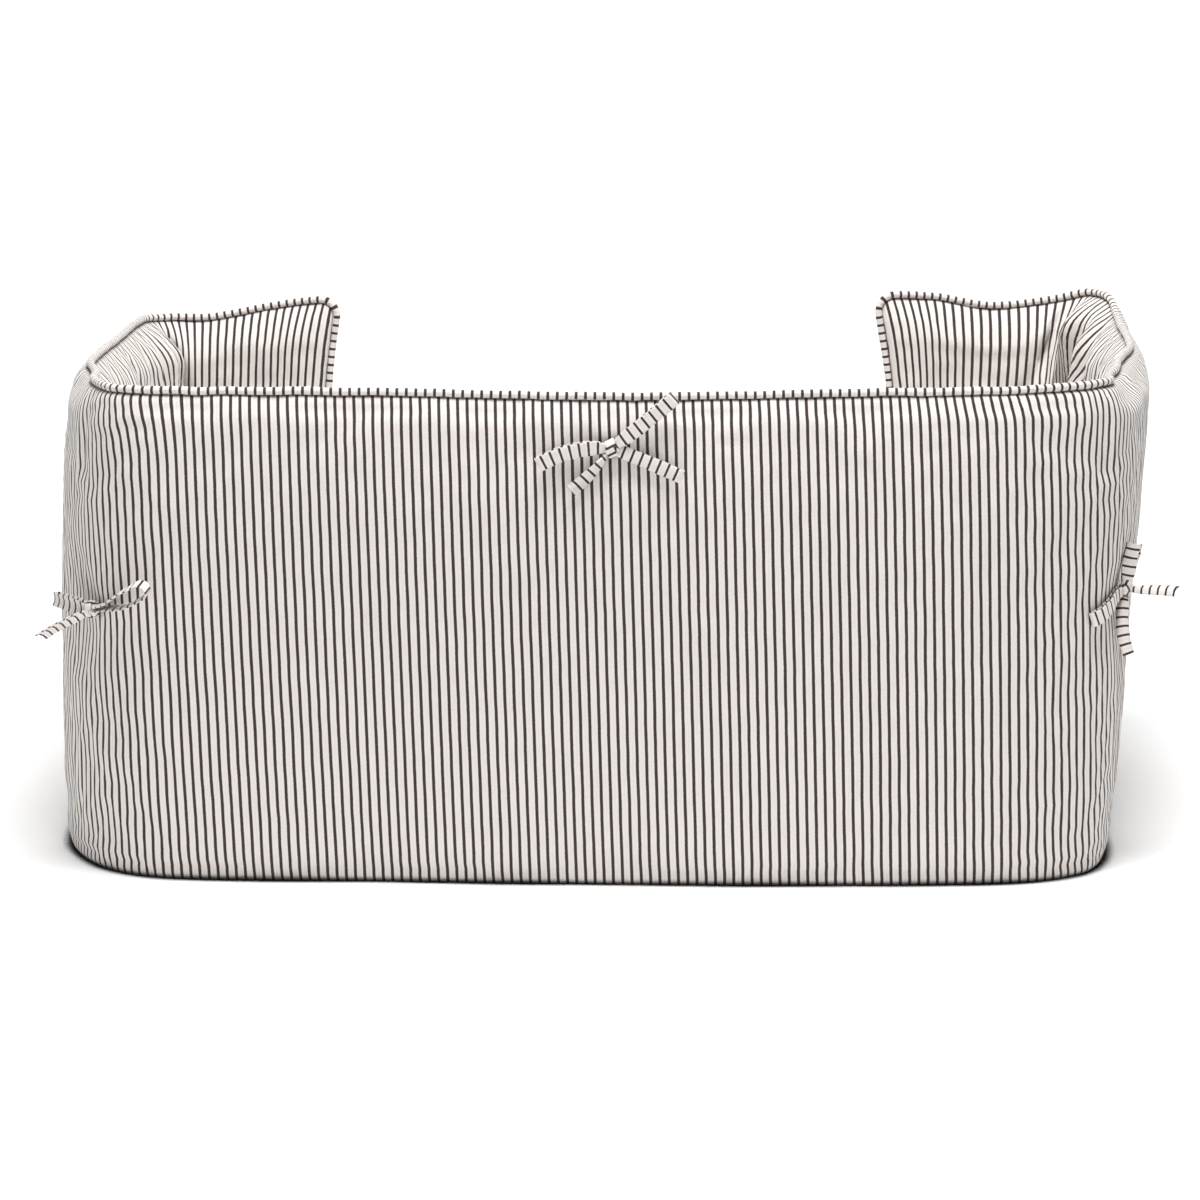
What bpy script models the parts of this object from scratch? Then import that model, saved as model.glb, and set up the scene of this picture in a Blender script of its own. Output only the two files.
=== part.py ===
"""Dog crate bumper: a padded ticking band that stands on edge and bends to an open C.

Metres, +Z up. The long back panel is at -Y and the door gap is at +Y. The origin is on the floor, under
the middle of the whole outline. The band runs from the left door end, round the two left corners, along
the back panel, round the two right corners and on to the right door end.
"""
import math

import bmesh
import bpy
from mathutils import Vector
from mathutils.bvhtree import BVHTree

# Driving sizes
PAD_THICKNESS = 0.037
FOOT_WIDTH = 0.018
PIPING_DIAMETER = 0.0057
SEAM_GAP = 0.0003
TIE_WIDTH = 0.0100
TIE_THICKNESS = 0.0016

# Middle of the outline, in the frame that the station table uses
MIDDLE_X = 0.0115
MIDDLE_Y = 0.2455

# Shape of the band's upright slice
CROWN_POWER = 6.0        # how square the crown is: higher keeps the full thickness nearer the edges
FOOT_EDGE_POWER = 0.5
SLICE_STEPS = 14         # faces from the floor to the seam, on each side

# Shape of the two door ends
END_TOP_RADIUS = 0.014
END_FOOT_RADIUS = 0.008
END_TAPER = 0.042        # length over which the filling thins out to the end seam
END_TURNS = (0.0, 24.0, 46.0, 68.0, 90.0)

PIPING_SIDES = 8

# Ties: a flat stitched strip, knotted in a bow
KNOT_SIZE = (0.0062, 0.0046, 0.0055)    # half sizes along the band, out of it and up
STRAND_STEP = 0.005                     # length of the strip between two of its cross sections
LOOP_ROOT_GAP = 0.0030                  # between the two runs of a loop where they leave the knot
TURN_STEPS = 6                          # cross sections round a loop's tip
TIE_CLEARANCE = 0.0008                  # least room between a strand and the band's face

# Where each knot sits on the outer face. The room is what it leaves clear behind it, on the curved face.
# tie, station, along, height, room
TIE_SEATS = (
    ("tie_back", "back middle", -0.0162, 0.3125, 0.0004),
    ("tie_left", "near left corner", 0.0081, 0.1935, 0.0010),
    ("tie_right", "right bend", -0.0128, 0.1985, 0.0012),
)

# Loops and tails. A strand leaves its knot at one heading and ends at another. The turn is in plan, from
# the right, anticlockwise; the climb is from the level; the roll turns the strip's width out of the level;
# the gap is between the two runs of a loop, near its tip. Angles are in degrees.
# tie, kind, length, turn, end turn, climb, end climb, roll, end roll, gap
STRANDS = (
    ("tie_back", "loop", 0.050, 190, 181, 6, -30, 84, 90, 0.0046),
    ("tie_back", "loop", 0.061, -10, 4, 36, 42, 84, 92, 0.0046),
    ("tie_back", "tail", 0.056, -8, -2, -18, -21, 84, 96, 0.0),
    ("tie_back", "tail", 0.039, 192, 182, -50, -44, 30, 95, 0.0),
    ("tie_left", "loop", 0.076, -62, -34, 8, 22, 4, 12, 0.0120),
    ("tie_left", "loop", 0.040, 136, 122, 4, -4, 80, 96, 0.0050),
    ("tie_left", "tail", 0.047, 160, 136, -36, -42, 62, 48, 0.0),
    ("tie_right", "loop", 0.060, -108, -158, -8, -14, 84, 90, 0.0050),
    ("tie_right", "loop", 0.035, 46, 74, 62, 54, 76, 88, 0.0050),
    ("tie_right", "tail", 0.040, -30, -38, 12, 2, 8, 24, 0.0),
    ("tie_right", "tail", 0.046, -86, -110, -70, -70, -6, 16, 0.0),
)

# Upright slices along the band. The foot and the top are on the middle plane of the filling, and the top
# height is that of the piping's middle. The edge is the shape under the seam, from 0.3, full and round, to
# 0.6, drawn in to a sharp edge.
# name, foot x, foot y, top x, top y, top height, edge, slices up to the next row
STATIONS = (
    ("left end", -0.222, 0.474, -0.216, 0.478, 0.3640, 0.62, 8),
    ("left door crest", -0.270, 0.482, -0.264, 0.486, 0.3575, 0.60, 4),
    ("left door dip", -0.322, 0.484, -0.321, 0.487, 0.3472, 0.55, 5),
    ("left door turn", -0.353, 0.479, -0.352, 0.480, 0.3480, 0.45, 4),
    ("far left corner", -0.372, 0.460, -0.369, 0.461, 0.3490, 0.35, 5),
    ("left side far", -0.379, 0.426, -0.3725, 0.430, 0.3500, 0.30, 6),
    ("left side middle", -0.3825, 0.300, -0.3745, 0.300, 0.3505, 0.30, 5),
    ("left side near", -0.3835, 0.185, -0.3770, 0.185, 0.3510, 0.30, 3),
    ("left bend", -0.3775, 0.108, -0.3700, 0.118, 0.3515, 0.35, 3),
    ("near left corner", -0.3590, 0.064, -0.3570, 0.066, 0.3515, 0.45, 3),
    ("back left turn", -0.332, 0.038, -0.3370, 0.030, 0.3515, 0.55, 2),
    ("back left", -0.296, 0.0265, -0.3010, 0.0190, 0.3515, 0.60, 5),
    ("back left half", -0.165, 0.0205, -0.1660, 0.0180, 0.3510, 0.62, 6),
    ("back middle", 0.020, 0.0110, 0.0200, 0.0170, 0.3476, 0.62, 6),
    ("back right half", 0.180, 0.0085, 0.1810, 0.0180, 0.3502, 0.62, 5),
    ("back right", 0.274, 0.0125, 0.2800, 0.0170, 0.3518, 0.60, 2),
    ("back right turn", 0.314, 0.0205, 0.3200, 0.0300, 0.3520, 0.55, 3),
    ("near right corner", 0.3435, 0.0410, 0.3535, 0.0535, 0.3520, 0.45, 3),
    ("right bend", 0.356, 0.0800, 0.3730, 0.0920, 0.3520, 0.35, 3),
    ("right side near", 0.362, 0.1450, 0.3875, 0.1500, 0.3520, 0.28, 3),
    ("right side middle", 0.370, 0.2500, 0.4040, 0.2500, 0.3522, 0.28, 5),
    ("right side far", 0.381, 0.3800, 0.4125, 0.3900, 0.3550, 0.30, 5),
    ("far right bend", 0.384, 0.4350, 0.4130, 0.4380, 0.3630, 0.32, 4),
    ("far right corner", 0.377, 0.4670, 0.4010, 0.4720, 0.3690, 0.40, 4),
    ("right door turn", 0.356, 0.4800, 0.3730, 0.4850, 0.3640, 0.50, 5),
    ("right door dip", 0.322, 0.4830, 0.3230, 0.4870, 0.3566, 0.55, 4),
    ("right door crest", 0.286, 0.4820, 0.2720, 0.4850, 0.3645, 0.60, 8),
    ("right end", 0.245, 0.4750, 0.2270, 0.4780, 0.3665, 0.62, 0),
)

# The foot of every slice stands this far further along the band than its top, so that the stripes lean
FOOT_SHIFT = 0.011

# How far each door end draws in between its corners
END_DRAW = {"left end": 0.008, "right end": 0.016}

# Folds of the two faces, troughs and, with a depth below zero, ridges. Each is a line drawn on the flat cloth
# from an upper to a lower end, and a drop is how far below the seam an end lies.
# face (-1 outside, +1 inside), station, along and drop of the upper end, of the lower end, half width, depth
FOLDS = (
    (1, "far left corner", -0.014, 0.000, -0.052, 0.100, 0.0080, 0.0080),
    (1, "far left corner", 0.006, 0.000, -0.022, 0.130, 0.0160, -0.0195),
    (1, "far left corner", 0.040, 0.000, 0.030, 0.230, 0.0100, 0.0060),
    (1, "far left corner", -0.010, 0.110, -0.006, 0.340, 0.0110, 0.0090),
    (1, "far right corner", 0.014, 0.000, 0.050, 0.090, 0.0080, 0.0070),
    (1, "far right corner", -0.010, 0.000, 0.036, 0.094, 0.0110, -0.0130),
    (1, "far right corner", -0.028, 0.006, 0.010, 0.110, 0.0090, 0.0090),
    (1, "far right corner", -0.060, 0.000, -0.040, 0.160, 0.0100, 0.0060),
    (1, "far right corner", 0.010, 0.110, 0.002, 0.340, 0.0110, 0.0090),
    (1, "near left corner", 0.002, 0.000, -0.002, 0.334, 0.0110, 0.0085),
    (1, "near left corner", 0.028, 0.014, 0.036, 0.278, 0.0100, 0.0045),
    (1, "near right corner", 0.000, 0.000, 0.008, 0.334, 0.0110, 0.0085),
    (1, "near right corner", -0.025, 0.017, -0.034, 0.296, 0.0100, 0.0045),
    (-1, "far left corner", 0.008, 0.000, 0.006, 0.132, 0.0080, 0.0030),
    (-1, "far right corner", -0.001, 0.000, -0.003, 0.157, 0.0080, 0.0040),
    (-1, "near left corner", 0.009, 0.000, 0.007, 0.070, 0.0080, 0.0030),
    (-1, "near right corner", -0.009, 0.000, -0.007, 0.070, 0.0080, 0.0030),
)
FOLD_FADE = 0.22         # share of a fold's length over which it starts and dies out
# station, along, half width, how far the seam is drawn inwards there, how far it is drawn down
PINCHES = (
    ("near right corner", 0.056, 0.030, 0.0080, 0.0020),
    ("near right corner", 0.130, 0.070, 0.0100, 0.0010),
    ("near left corner", -0.062, 0.036, 0.0060, 0.0020),
    ("far right corner", -0.026, 0.016, 0.0000, -0.0030),
    ("far right corner", 0.030, 0.020, 0.0000, 0.0015),
)
PINCH_DEPTH = 0.022     # of the face below the seam that follows it

# Dimples where the ties pull the outer face in.
# station, along, height, half width, half height, depth
DIMPLES = (
    ("back middle", -0.014, 0.309, 0.022, 0.016, 0.0020),
    ("near left corner", -0.004, 0.190, 0.028, 0.040, 0.0050),
    ("near right corner", 0.022, 0.190, 0.028, 0.040, 0.0050),
)


# Plan of the band

def station_places():
    """Distance of each station from the left end, measured half way up."""
    places = [0.0]
    for last, row in zip(STATIONS, STATIONS[1:]):
        foot = math.hypot(row[1] - last[1], row[2] - last[2])
        top = math.hypot(row[3] - last[3], row[4] - last[4])
        places.append(places[-1] + (foot + top) / 2)
    return places


PLACES = station_places()
PLACE_OF = {row[0]: place for row, place in zip(STATIONS, PLACES)}
BAND_LENGTH = PLACES[-1]


def slope_at(values, index):
    """Slope of a smooth curve through the stations, from each station's two neighbours."""
    before = max(index - 1, 0)
    after = min(index + 1, len(PLACES) - 1)
    return (values[after] - values[before]) / (PLACES[after] - PLACES[before])


def smooth_curve(values, along):
    """Value of the smooth curve through one column of the station table."""
    inside = min(max(along, 0.0), BAND_LENGTH)
    if along != inside:
        index = 0 if along < 0 else len(PLACES) - 1
        return values[index] + slope_at(values, index) * (along - inside)
    index = 0
    while index < len(PLACES) - 2 and along > PLACES[index + 1]:
        index += 1
    span = PLACES[index + 1] - PLACES[index]
    part = (along - PLACES[index]) / span
    square, cube = part ** 2, part ** 3
    return (values[index] * (2 * cube - 3 * square + 1)
            + slope_at(values, index) * span * (cube - 2 * square + part)
            + values[index + 1] * (3 * square - 2 * cube)
            + slope_at(values, index + 1) * span * (cube - square))


FEET = [Vector((row[1] - MIDDLE_X, row[2] - MIDDLE_Y, 0.0)) for row in STATIONS]
TOPS = [Vector((row[3] - MIDDLE_X, row[4] - MIDDLE_Y, 0.0)) for row in STATIONS]
HEIGHTS = [row[5] for row in STATIONS]
EDGES = [row[6] for row in STATIONS]


def foot_and_top(along):
    return smooth_curve(FEET, along + FOOT_SHIFT), smooth_curve(TOPS, along)


def end_distance(along):
    return min(along, BAND_LENGTH - along)


def corner_drop(distance, radius):
    """How much a rounded corner takes off the height at a distance from the end."""
    if distance >= radius:
        return 0.0
    return radius - math.sqrt(radius ** 2 - (radius - distance) ** 2)


def seam_height(along):
    """Height of the seam that the piping sits in."""
    full = smooth_curve(HEIGHTS, along) - PIPING_DIAMETER / 2 - SEAM_GAP
    return full - corner_drop(end_distance(along), END_TOP_RADIUS)


def foot_height(along):
    return corner_drop(end_distance(along), END_FOOT_RADIUS)


def end_draw(along, height, full_height):
    """Sideways pull of the door ends, towards the band, between their two corners."""
    level = 2 * height / full_height - 1
    bow = 1 - min(abs(level), 1.0) ** 2.5
    left_fade = max(0.0, 1 - along / (2 * END_TAPER))
    right_fade = max(0.0, 1 - (BAND_LENGTH - along) / (2 * END_TAPER))
    return bow * (END_DRAW["left end"] * left_fade ** 2 - END_DRAW["right end"] * right_fade ** 2)


def middle_point(along, height):
    """Point on the middle plane of the filling."""
    full_height = smooth_curve(HEIGHTS, along)
    rise = height / full_height
    foot, top = foot_and_top(along)
    point = foot.lerp(top, rise)
    point += heading(along, rise) * end_draw(along, height, full_height)
    point.z = height
    return point


def heading(along, rise):
    """Level direction of the band at a share of its height."""
    step = 0.004
    back, ahead = max(along - step, 0.0), min(along + step, BAND_LENGTH)
    start, stop = foot_and_top(back), foot_and_top(ahead)
    return (stop[0].lerp(stop[1], rise) - start[0].lerp(start[1], rise)).normalized()


def inward(along, rise):
    """Level direction that points into the crate, square to the band."""
    direction = heading(along, rise)
    return Vector((-direction.y, direction.x, 0.0))


# Faces of the filled band

def crown(share, edge):
    """Share of the full half thickness at a share of the height between floor and seam."""
    foot = FOOT_WIDTH / PAD_THICKNESS
    top_side = (1 - share ** CROWN_POWER) ** edge
    foot_side = (1 - (1 - share) ** CROWN_POWER) ** FOOT_EDGE_POWER
    return top_side * (foot + (1 - foot) * foot_side)


def end_fill(along):
    """Share of the thickness that is left near a door end."""
    distance = end_distance(along)
    if distance >= END_TAPER:
        return 1.0
    return math.sqrt(1 - (1 - distance / END_TAPER) ** 2)


def eased(part):
    inside = min(max(part, 0.0), 1.0)
    return inside * inside * (3 - 2 * inside)


def fold_shape(row, along, drop):
    """Depth of one fold: full along its line, softly gone past its ends and its half width."""
    start, top, stop, bottom, half_width, depth = row
    run, fall = stop - start, bottom - top
    length = math.hypot(run, fall)
    part = ((along - start) * run + (drop - top) * fall) / length ** 2
    across = ((along - start) * fall - (drop - top) * run) / length
    begin = 1.0 if top == 0.0 else eased(part / FOLD_FADE)
    return depth * math.exp(-(across / half_width) ** 2) * begin * eased((1 - part) / FOLD_FADE)


def fold_depth(face, along, share):
    """Depth of all folds and dimples at a place on a face."""
    low, high = foot_height(along), seam_height(along)
    height = low + (high - low) * share
    depth = sum(fold_shape(row[2:], along - PLACE_OF[row[1]], high - height)
                for row in FOLDS if row[0] == face)
    if face < 0:
        for station, place, centre_height, half_width, half_height, deep in DIMPLES:
            across = (along - PLACE_OF[station] - place) / half_width
            up = (height - centre_height) / half_height
            depth += deep * math.exp(-across ** 2 - up ** 2)
    return depth


def pinch(along, drop):
    """How far the seam's stitches draw the cloth inwards and down, at a drop below the seam."""
    pull = eased(1 - drop / PINCH_DEPTH)
    inwards = down = 0.0
    for station, place, half_width, draw, lower in PINCHES:
        near = pull * math.exp(-((along - PLACE_OF[station] - place) / half_width) ** 2)
        inwards += draw * near
        down += lower * near
    return inwards, down


def face_point(face, along, share):
    """Point on the outer (face -1) or inner (face +1) side of the band."""
    low, high = foot_height(along), seam_height(along)
    height = low + (high - low) * share
    fill = end_fill(along)
    fullness = crown(share, smooth_curve(EDGES, along))
    half = PAD_THICKNESS / 2 * fullness * fill
    half -= fold_depth(face, along, share) * fullness * fill * (share > 0)
    inwards, down = pinch(along, high - height)
    point = middle_point(along, height) + inward(along, height / high) * (face * half + inwards)
    point.z -= down
    return point


def slice_shares():
    """Shares of the height, closer together at the floor and at the seam."""
    return [(1 - math.cos(math.pi * step / SLICE_STEPS)) / 2 for step in range(SLICE_STEPS + 1)]


def slice_places():
    """Distances along the band at which its slices stand."""
    ends = [END_TOP_RADIUS * (1 - math.cos(math.radians(turn))) for turn in END_TURNS]
    places = list(ends)
    for index, row in enumerate(STATIONS[:-1]):
        start, stop, count = PLACES[index], PLACES[index + 1], row[7]
        if index == 0:
            start = ends[-1]
        if index == len(STATIONS) - 2:
            stop = BAND_LENGTH - ends[-1]
        places += [start + (stop - start) * (step + 1) / count for step in range(count)]
    places += [BAND_LENGTH - place for place in reversed(ends[:-1])]
    return places


# Making objects

def material(name, colour, roughness):
    made = bpy.data.materials.new(name)
    made.use_nodes = True
    shader = made.node_tree.nodes["Principled BSDF"]
    shader.inputs["Base Color"].default_value = (*colour, 1.0)
    shader.inputs["Roughness"].default_value = roughness
    shader.inputs["Metallic"].default_value = 0.0
    return made


def object_from(name, points, faces, finish, parent=None):
    """A mesh object with its faces turned outwards and its doubled points joined."""
    mesh = bpy.data.meshes.new(name)
    work = bmesh.new()
    corners = [work.verts.new(point) for point in points]
    for face in faces:
        work.faces.new([corners[index] for index in face])
    bmesh.ops.remove_doubles(work, verts=work.verts, dist=0.00001)
    bmesh.ops.recalc_face_normals(work, faces=work.faces)
    work.to_mesh(mesh)
    work.free()
    mesh.shade_smooth()
    mesh.materials.append(finish)
    made = bpy.data.objects.new(name, mesh)
    made.parent = parent
    bpy.context.scene.collection.objects.link(made)
    return made


def tube_faces(rings, sides):
    """Faces of a closed tube with flat ends, for rings of the same number of points."""
    faces = []
    for ring in range(rings - 1):
        for side in range(sides):
            after = (side + 1) % sides
            low, high = ring * sides, (ring + 1) * sides
            faces.append((low + side, low + after, high + after, high + side))
    faces.append(tuple(range(sides)))
    faces.append(tuple(range((rings - 1) * sides, rings * sides)))
    return faces


# The pad

def make_pad(finish, parent):
    shares = slice_shares()
    points = []
    places = slice_places()
    for along in places:
        points += [face_point(-1, along, share) for share in shares]
        points += [face_point(1, along, share) for share in reversed(shares[:-1])]
    sides = 2 * SLICE_STEPS + 1
    faces = tube_faces(len(places), sides)[:-2]
    return object_from("pad", points, faces, finish, parent)


# The piping

def seam_line():
    """Points of the seam from the floor at the left end, over the top, to the floor at the right end."""
    shares = [share for share in slice_shares() if share > 0][:-1]
    left = [face_point(-1, 0.0, share) for share in shares]
    top = [face_point(-1, along, 1.0) for along in slice_places()]
    right = [face_point(-1, BAND_LENGTH, share) for share in reversed(shares)]
    inner = [inward(0.0, share) for share in shares]
    inner += [inward(along, 1.0) for along in slice_places()]
    inner += [inward(BAND_LENGTH, share) for share in reversed(shares)]
    return left + top + right, inner


def make_piping(finish, parent):
    line, inner = seam_line()
    radius = PIPING_DIAMETER / 2
    points = []
    for index, point in enumerate(line):
        before, after = line[max(index - 1, 0)], line[min(index + 1, len(line) - 1)]
        direction = (after - before).normalized()
        across = (inner[index] - direction * inner[index].dot(direction)).normalized()
        outward = direction.cross(across).normalized()
        centre = point + outward * (radius + SEAM_GAP)
        for side in range(PIPING_SIDES):
            angle = 2 * math.pi * side / PIPING_SIDES
            points.append(centre + (outward * math.cos(angle) + across * math.sin(angle)) * radius)
    return object_from("piping", points, tube_faces(len(line), PIPING_SIDES), finish, parent)


# The ties

def seat_of(tie):
    """Knot centre of a tie, and the level direction out of the band there."""
    station, place, height, room = next(seat[1:] for seat in TIE_SEATS if seat[0] == tie)
    along = PLACE_OF[station] + place
    low, high = foot_height(along), seam_height(along)
    share = (height - low) / (high - low)
    step = 0.002
    point = face_point(-1, along, share)
    level = face_point(-1, along + step, share) - face_point(-1, along - step, share)
    upright = face_point(-1, along, share + step) - face_point(-1, along, share - step)
    outward = level.cross(upright).normalized()
    return point + outward * (KNOT_SIZE[1] + room), outward


def strand_frame(row, part):
    """Heading of a strand and direction of its width, part of the way along it."""
    turn, climb, roll = (math.radians(start + (stop - start) * part)
                         for start, stop in ((row[3], row[4]), (row[5], row[6]), (row[7], row[8])))
    ahead = Vector((math.cos(turn) * math.cos(climb), math.sin(turn) * math.cos(climb), math.sin(climb)))
    level = Vector((-math.sin(turn), math.cos(turn), 0.0))
    rising = ahead.cross(level)
    return ahead, level * math.cos(roll) + rising * math.sin(roll)


def lifted(middle, width, aside, half_depth, band_surface):
    """A strand's middle, moved out where the strand would cut into the band's face."""
    nearest, normal = band_surface.find_nearest(middle)[:2]
    reach = abs(width.dot(normal)) * TIE_WIDTH / 2 + abs(aside.dot(normal)) * half_depth + TIE_CLEARANCE
    height = (middle - nearest).dot(normal)
    return middle + normal * max(0.0, reach - height)


def strand_line(row, start, band_surface):
    """Middle line of a tail, or of a whole loop out and back, with the direction of its width."""
    length, gap = row[2], row[9]
    run = length - gap / 2
    steps = max(3, round(run / STRAND_STEP))
    middle, line, back = Vector(start), [], []
    for step in range(steps + 1):
        part = step / steps
        ahead, width = strand_frame(row, part)
        aside = width.cross(ahead).normalized()
        spread = part * part * (3 - 2 * part)
        half = (LOOP_ROOT_GAP + (gap - LOOP_ROOT_GAP) * spread) / 2 if gap else 0.0
        if step:
            middle = middle + ahead * (run / steps)
        middle = lifted(middle, width, aside, half + TIE_THICKNESS / 2, band_surface)
        line.append((middle + aside * half, width))
        back.append((middle - aside * half, width))
    if gap == 0.0:
        return line
    for step in range(1, TURN_STEPS):
        angle = math.pi * step / TURN_STEPS
        round_tip = aside * math.cos(angle) + ahead * math.sin(angle)
        line.append((middle + round_tip * gap / 2, width))
    return line + back[::-1]


def make_strip(name, line, finish):
    """A flat strip that follows a line, given its width direction at each point."""
    points = []
    for index, (point, width) in enumerate(line):
        before, after = line[max(index - 1, 0)][0], line[min(index + 1, len(line) - 1)][0]
        ahead = (after - before).normalized()
        across = (width - ahead * width.dot(ahead)).normalized() * TIE_WIDTH / 2
        through = ahead.cross(across).normalized() * TIE_THICKNESS / 2
        points += [point + across + through, point - across + through,
                   point - across - through, point + across - through]
    return object_from(name, points, tube_faces(len(line), 4), finish)


def make_knot(name, centre, outward, finish):
    mesh = bpy.data.meshes.new(name)
    work = bmesh.new()
    bmesh.ops.create_uvsphere(work, u_segments=14, v_segments=8, radius=1.0)
    bmesh.ops.scale(work, verts=work.verts, vec=Vector(KNOT_SIZE))
    work.to_mesh(mesh)
    work.free()
    mesh.shade_smooth()
    mesh.materials.append(finish)
    made = bpy.data.objects.new(name, mesh)
    made.location = centre
    made.rotation_euler.z = math.atan2(outward.y, outward.x) + math.pi / 2
    bpy.context.scene.collection.objects.link(made)
    return made


def make_tie(name, finish, parent, band_surface):
    """A knot with its loops and tails joined on as one solid."""
    centre, outward = seat_of(name)
    knot = make_knot(name, centre, outward, finish)
    knot.parent = parent
    for index, row in enumerate(row for row in STRANDS if row[0] == name):
        line = strand_line(row, centre, band_surface)
        strip = make_strip(f"{name}_strip_{index}", line, finish)
        strip.hide_render = True
        strip.display_type = "WIRE"
        join = knot.modifiers.new(f"strip {index}", "BOOLEAN")
        join.operation = "UNION"
        join.solver = "EXACT"
        join.object = strip


def main():
    for old in list(bpy.data.objects):
        bpy.data.objects.remove(old, do_unlink=True)
    ticking = material("ticking", (0.62, 0.60, 0.57), 0.9)
    piping_cloth = material("piping ticking", (0.60, 0.58, 0.55), 0.9)
    whole = bpy.data.objects.new("bumper", None)
    bpy.context.scene.collection.objects.link(whole)
    pad = make_pad(ticking, whole)
    make_piping(piping_cloth, whole)
    band_surface = BVHTree.FromObject(pad, bpy.context.evaluated_depsgraph_get())
    for seat in TIE_SEATS:
        make_tie(seat[0], piping_cloth, whole, band_surface)


main()
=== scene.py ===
# %% [markdown]
# # A padded bumper for a dog crate
#
# The real thing is a wide strip of cotton ticking, folded in half, filled, and stood on its folded edge. A
# corded seam runs along the top and down both ends, and three narrow ties hold it to the bars of a crate.
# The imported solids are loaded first. They are the frame that every piece below has to fit.

import math

import bpy
import numpy as np
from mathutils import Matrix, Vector
from mathutils.bvhtree import BVHTree


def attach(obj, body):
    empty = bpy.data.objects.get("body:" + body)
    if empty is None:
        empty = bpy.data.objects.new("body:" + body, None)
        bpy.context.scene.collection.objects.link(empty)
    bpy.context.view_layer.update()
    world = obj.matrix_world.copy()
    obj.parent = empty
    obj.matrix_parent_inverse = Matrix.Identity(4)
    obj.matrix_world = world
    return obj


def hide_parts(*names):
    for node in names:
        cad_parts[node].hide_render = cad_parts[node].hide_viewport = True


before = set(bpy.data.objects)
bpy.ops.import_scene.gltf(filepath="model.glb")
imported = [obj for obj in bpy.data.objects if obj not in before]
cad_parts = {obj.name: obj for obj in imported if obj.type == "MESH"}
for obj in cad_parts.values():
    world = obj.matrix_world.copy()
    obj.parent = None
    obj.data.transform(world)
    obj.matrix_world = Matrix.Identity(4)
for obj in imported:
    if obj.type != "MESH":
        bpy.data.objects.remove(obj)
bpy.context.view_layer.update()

# %% [markdown]
# ## The camera
#
# The camera looks down a little on the outside of the back panel, so both door ends show above it. A wide
# lens close by would make the door ends small and the back large. This one is long and stands well back, so
# near and far parts keep nearly the same scale.

# %% The camera
MIDDLE = np.array([0.0115, 0.2455, 0.0])     # middle of the outline, in the frame of the station table
EYE = np.array([0.0, -2.517, 0.705]) - MIDDLE
EYE_TILT = 11.214                            # degrees below the level
EYE_LENS = 110.17                            # mm, on a sensor 36 mm wide

camera = bpy.data.objects.new("camera", bpy.data.cameras.new("camera"))
camera.data.lens = EYE_LENS
camera.data.sensor_width = 36.0
camera.data.clip_end = 50.0
camera.location = EYE
camera.rotation_euler = (math.radians(90 - EYE_TILT), 0.0, 0.0)
bpy.context.scene.collection.objects.link(camera)
bpy.context.scene.camera = camera
print("the camera stands", round(float(-EYE[1]), 2), "m in front and", round(float(EYE[2]), 2), "m up")

# %% [markdown]
# ## The light
#
# Soft light suits cloth, because folds are then drawn by their own shade and not by hard shadows. Most of it
# comes from one wide lamp above and a little in front. Two weak lamps fill the sides, one more whitens the
# wall, and the room itself is bright. A single small lamp would be simpler, but its shadows would cut across
# the stripes and hide the swell of the filling.

# %% Lamps
# name, width in metres, power in watts, place, what it looks at
LAMPS = (
    ("overhead", 1.0, 59.0, (0.05, -0.50, 2.3), (0.0, 0.0, 0.15)),
    ("front left", 1.6, 3.0, (-2.2, -2.2, 1.3), (0.0, 0.0, 0.2)),
    ("back", 1.8, 8.0, (0.2, 2.4, 2.0), (0.0, 0.0, 0.2)),
    ("wall", 3.0, 75.0, (0.0, 2.6, 3.6), (0.0, 5.0, 1.6)),
)
ROOM_LIGHT = 0.40


def add_lamp(name, size, power, place, target):
    """A square soft lamp that looks at a target."""
    light = bpy.data.lights.new(name, "AREA")
    light.shape = "SQUARE"
    light.size = size
    light.energy = power
    lamp = bpy.data.objects.new(name, light)
    lamp.location = place
    lamp.rotation_euler = (Vector(target) - Vector(place)).to_track_quat("-Z", "Y").to_euler()
    bpy.context.scene.collection.objects.link(lamp)


for row in LAMPS:
    add_lamp(*row)
room = bpy.data.worlds.new("white room")
room.use_nodes = True
room.node_tree.nodes["Background"].inputs["Color"].default_value = (1.0, 1.0, 1.0, 1.0)
room.node_tree.nodes["Background"].inputs["Strength"].default_value = ROOM_LIGHT
bpy.context.scene.world = room
bpy.context.scene.view_settings.view_transform = "Standard"
print(len(LAMPS), "lamps in a white room")

# %% [markdown]
# ## The floor
#
# The bumper stands on a sheet of white paper that turns up into a wall, so no edge shows behind it. It is
# there for the light alone and isn't part of the object. What tells the eye that the foot touches the floor
# is the thin dark line under it, a contact shadow painted into the paper's colour. The paper finds that
# line by itself: it measures how much of its near surroundings is covered, and is painted dark where nearly
# all of it is. The paper also glows faintly, painted light that lifts the shadows on the rest and keeps it
# white.

# %% The floor
PAPER_WHITE = (0.93, 0.93, 0.93, 1.0)
# colour of the painted contact shadow under the foot
CONTACT_SHADOW_DARK = (0.012, 0.012, 0.012, 1.0)
CONTACT_REACH = 0.016       # how far the dark line under the foot spreads over the paper
# strength of the paper's own glow, painted light that lifts the shadows on the floor
PAPER_GLOW = 0.13


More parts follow.
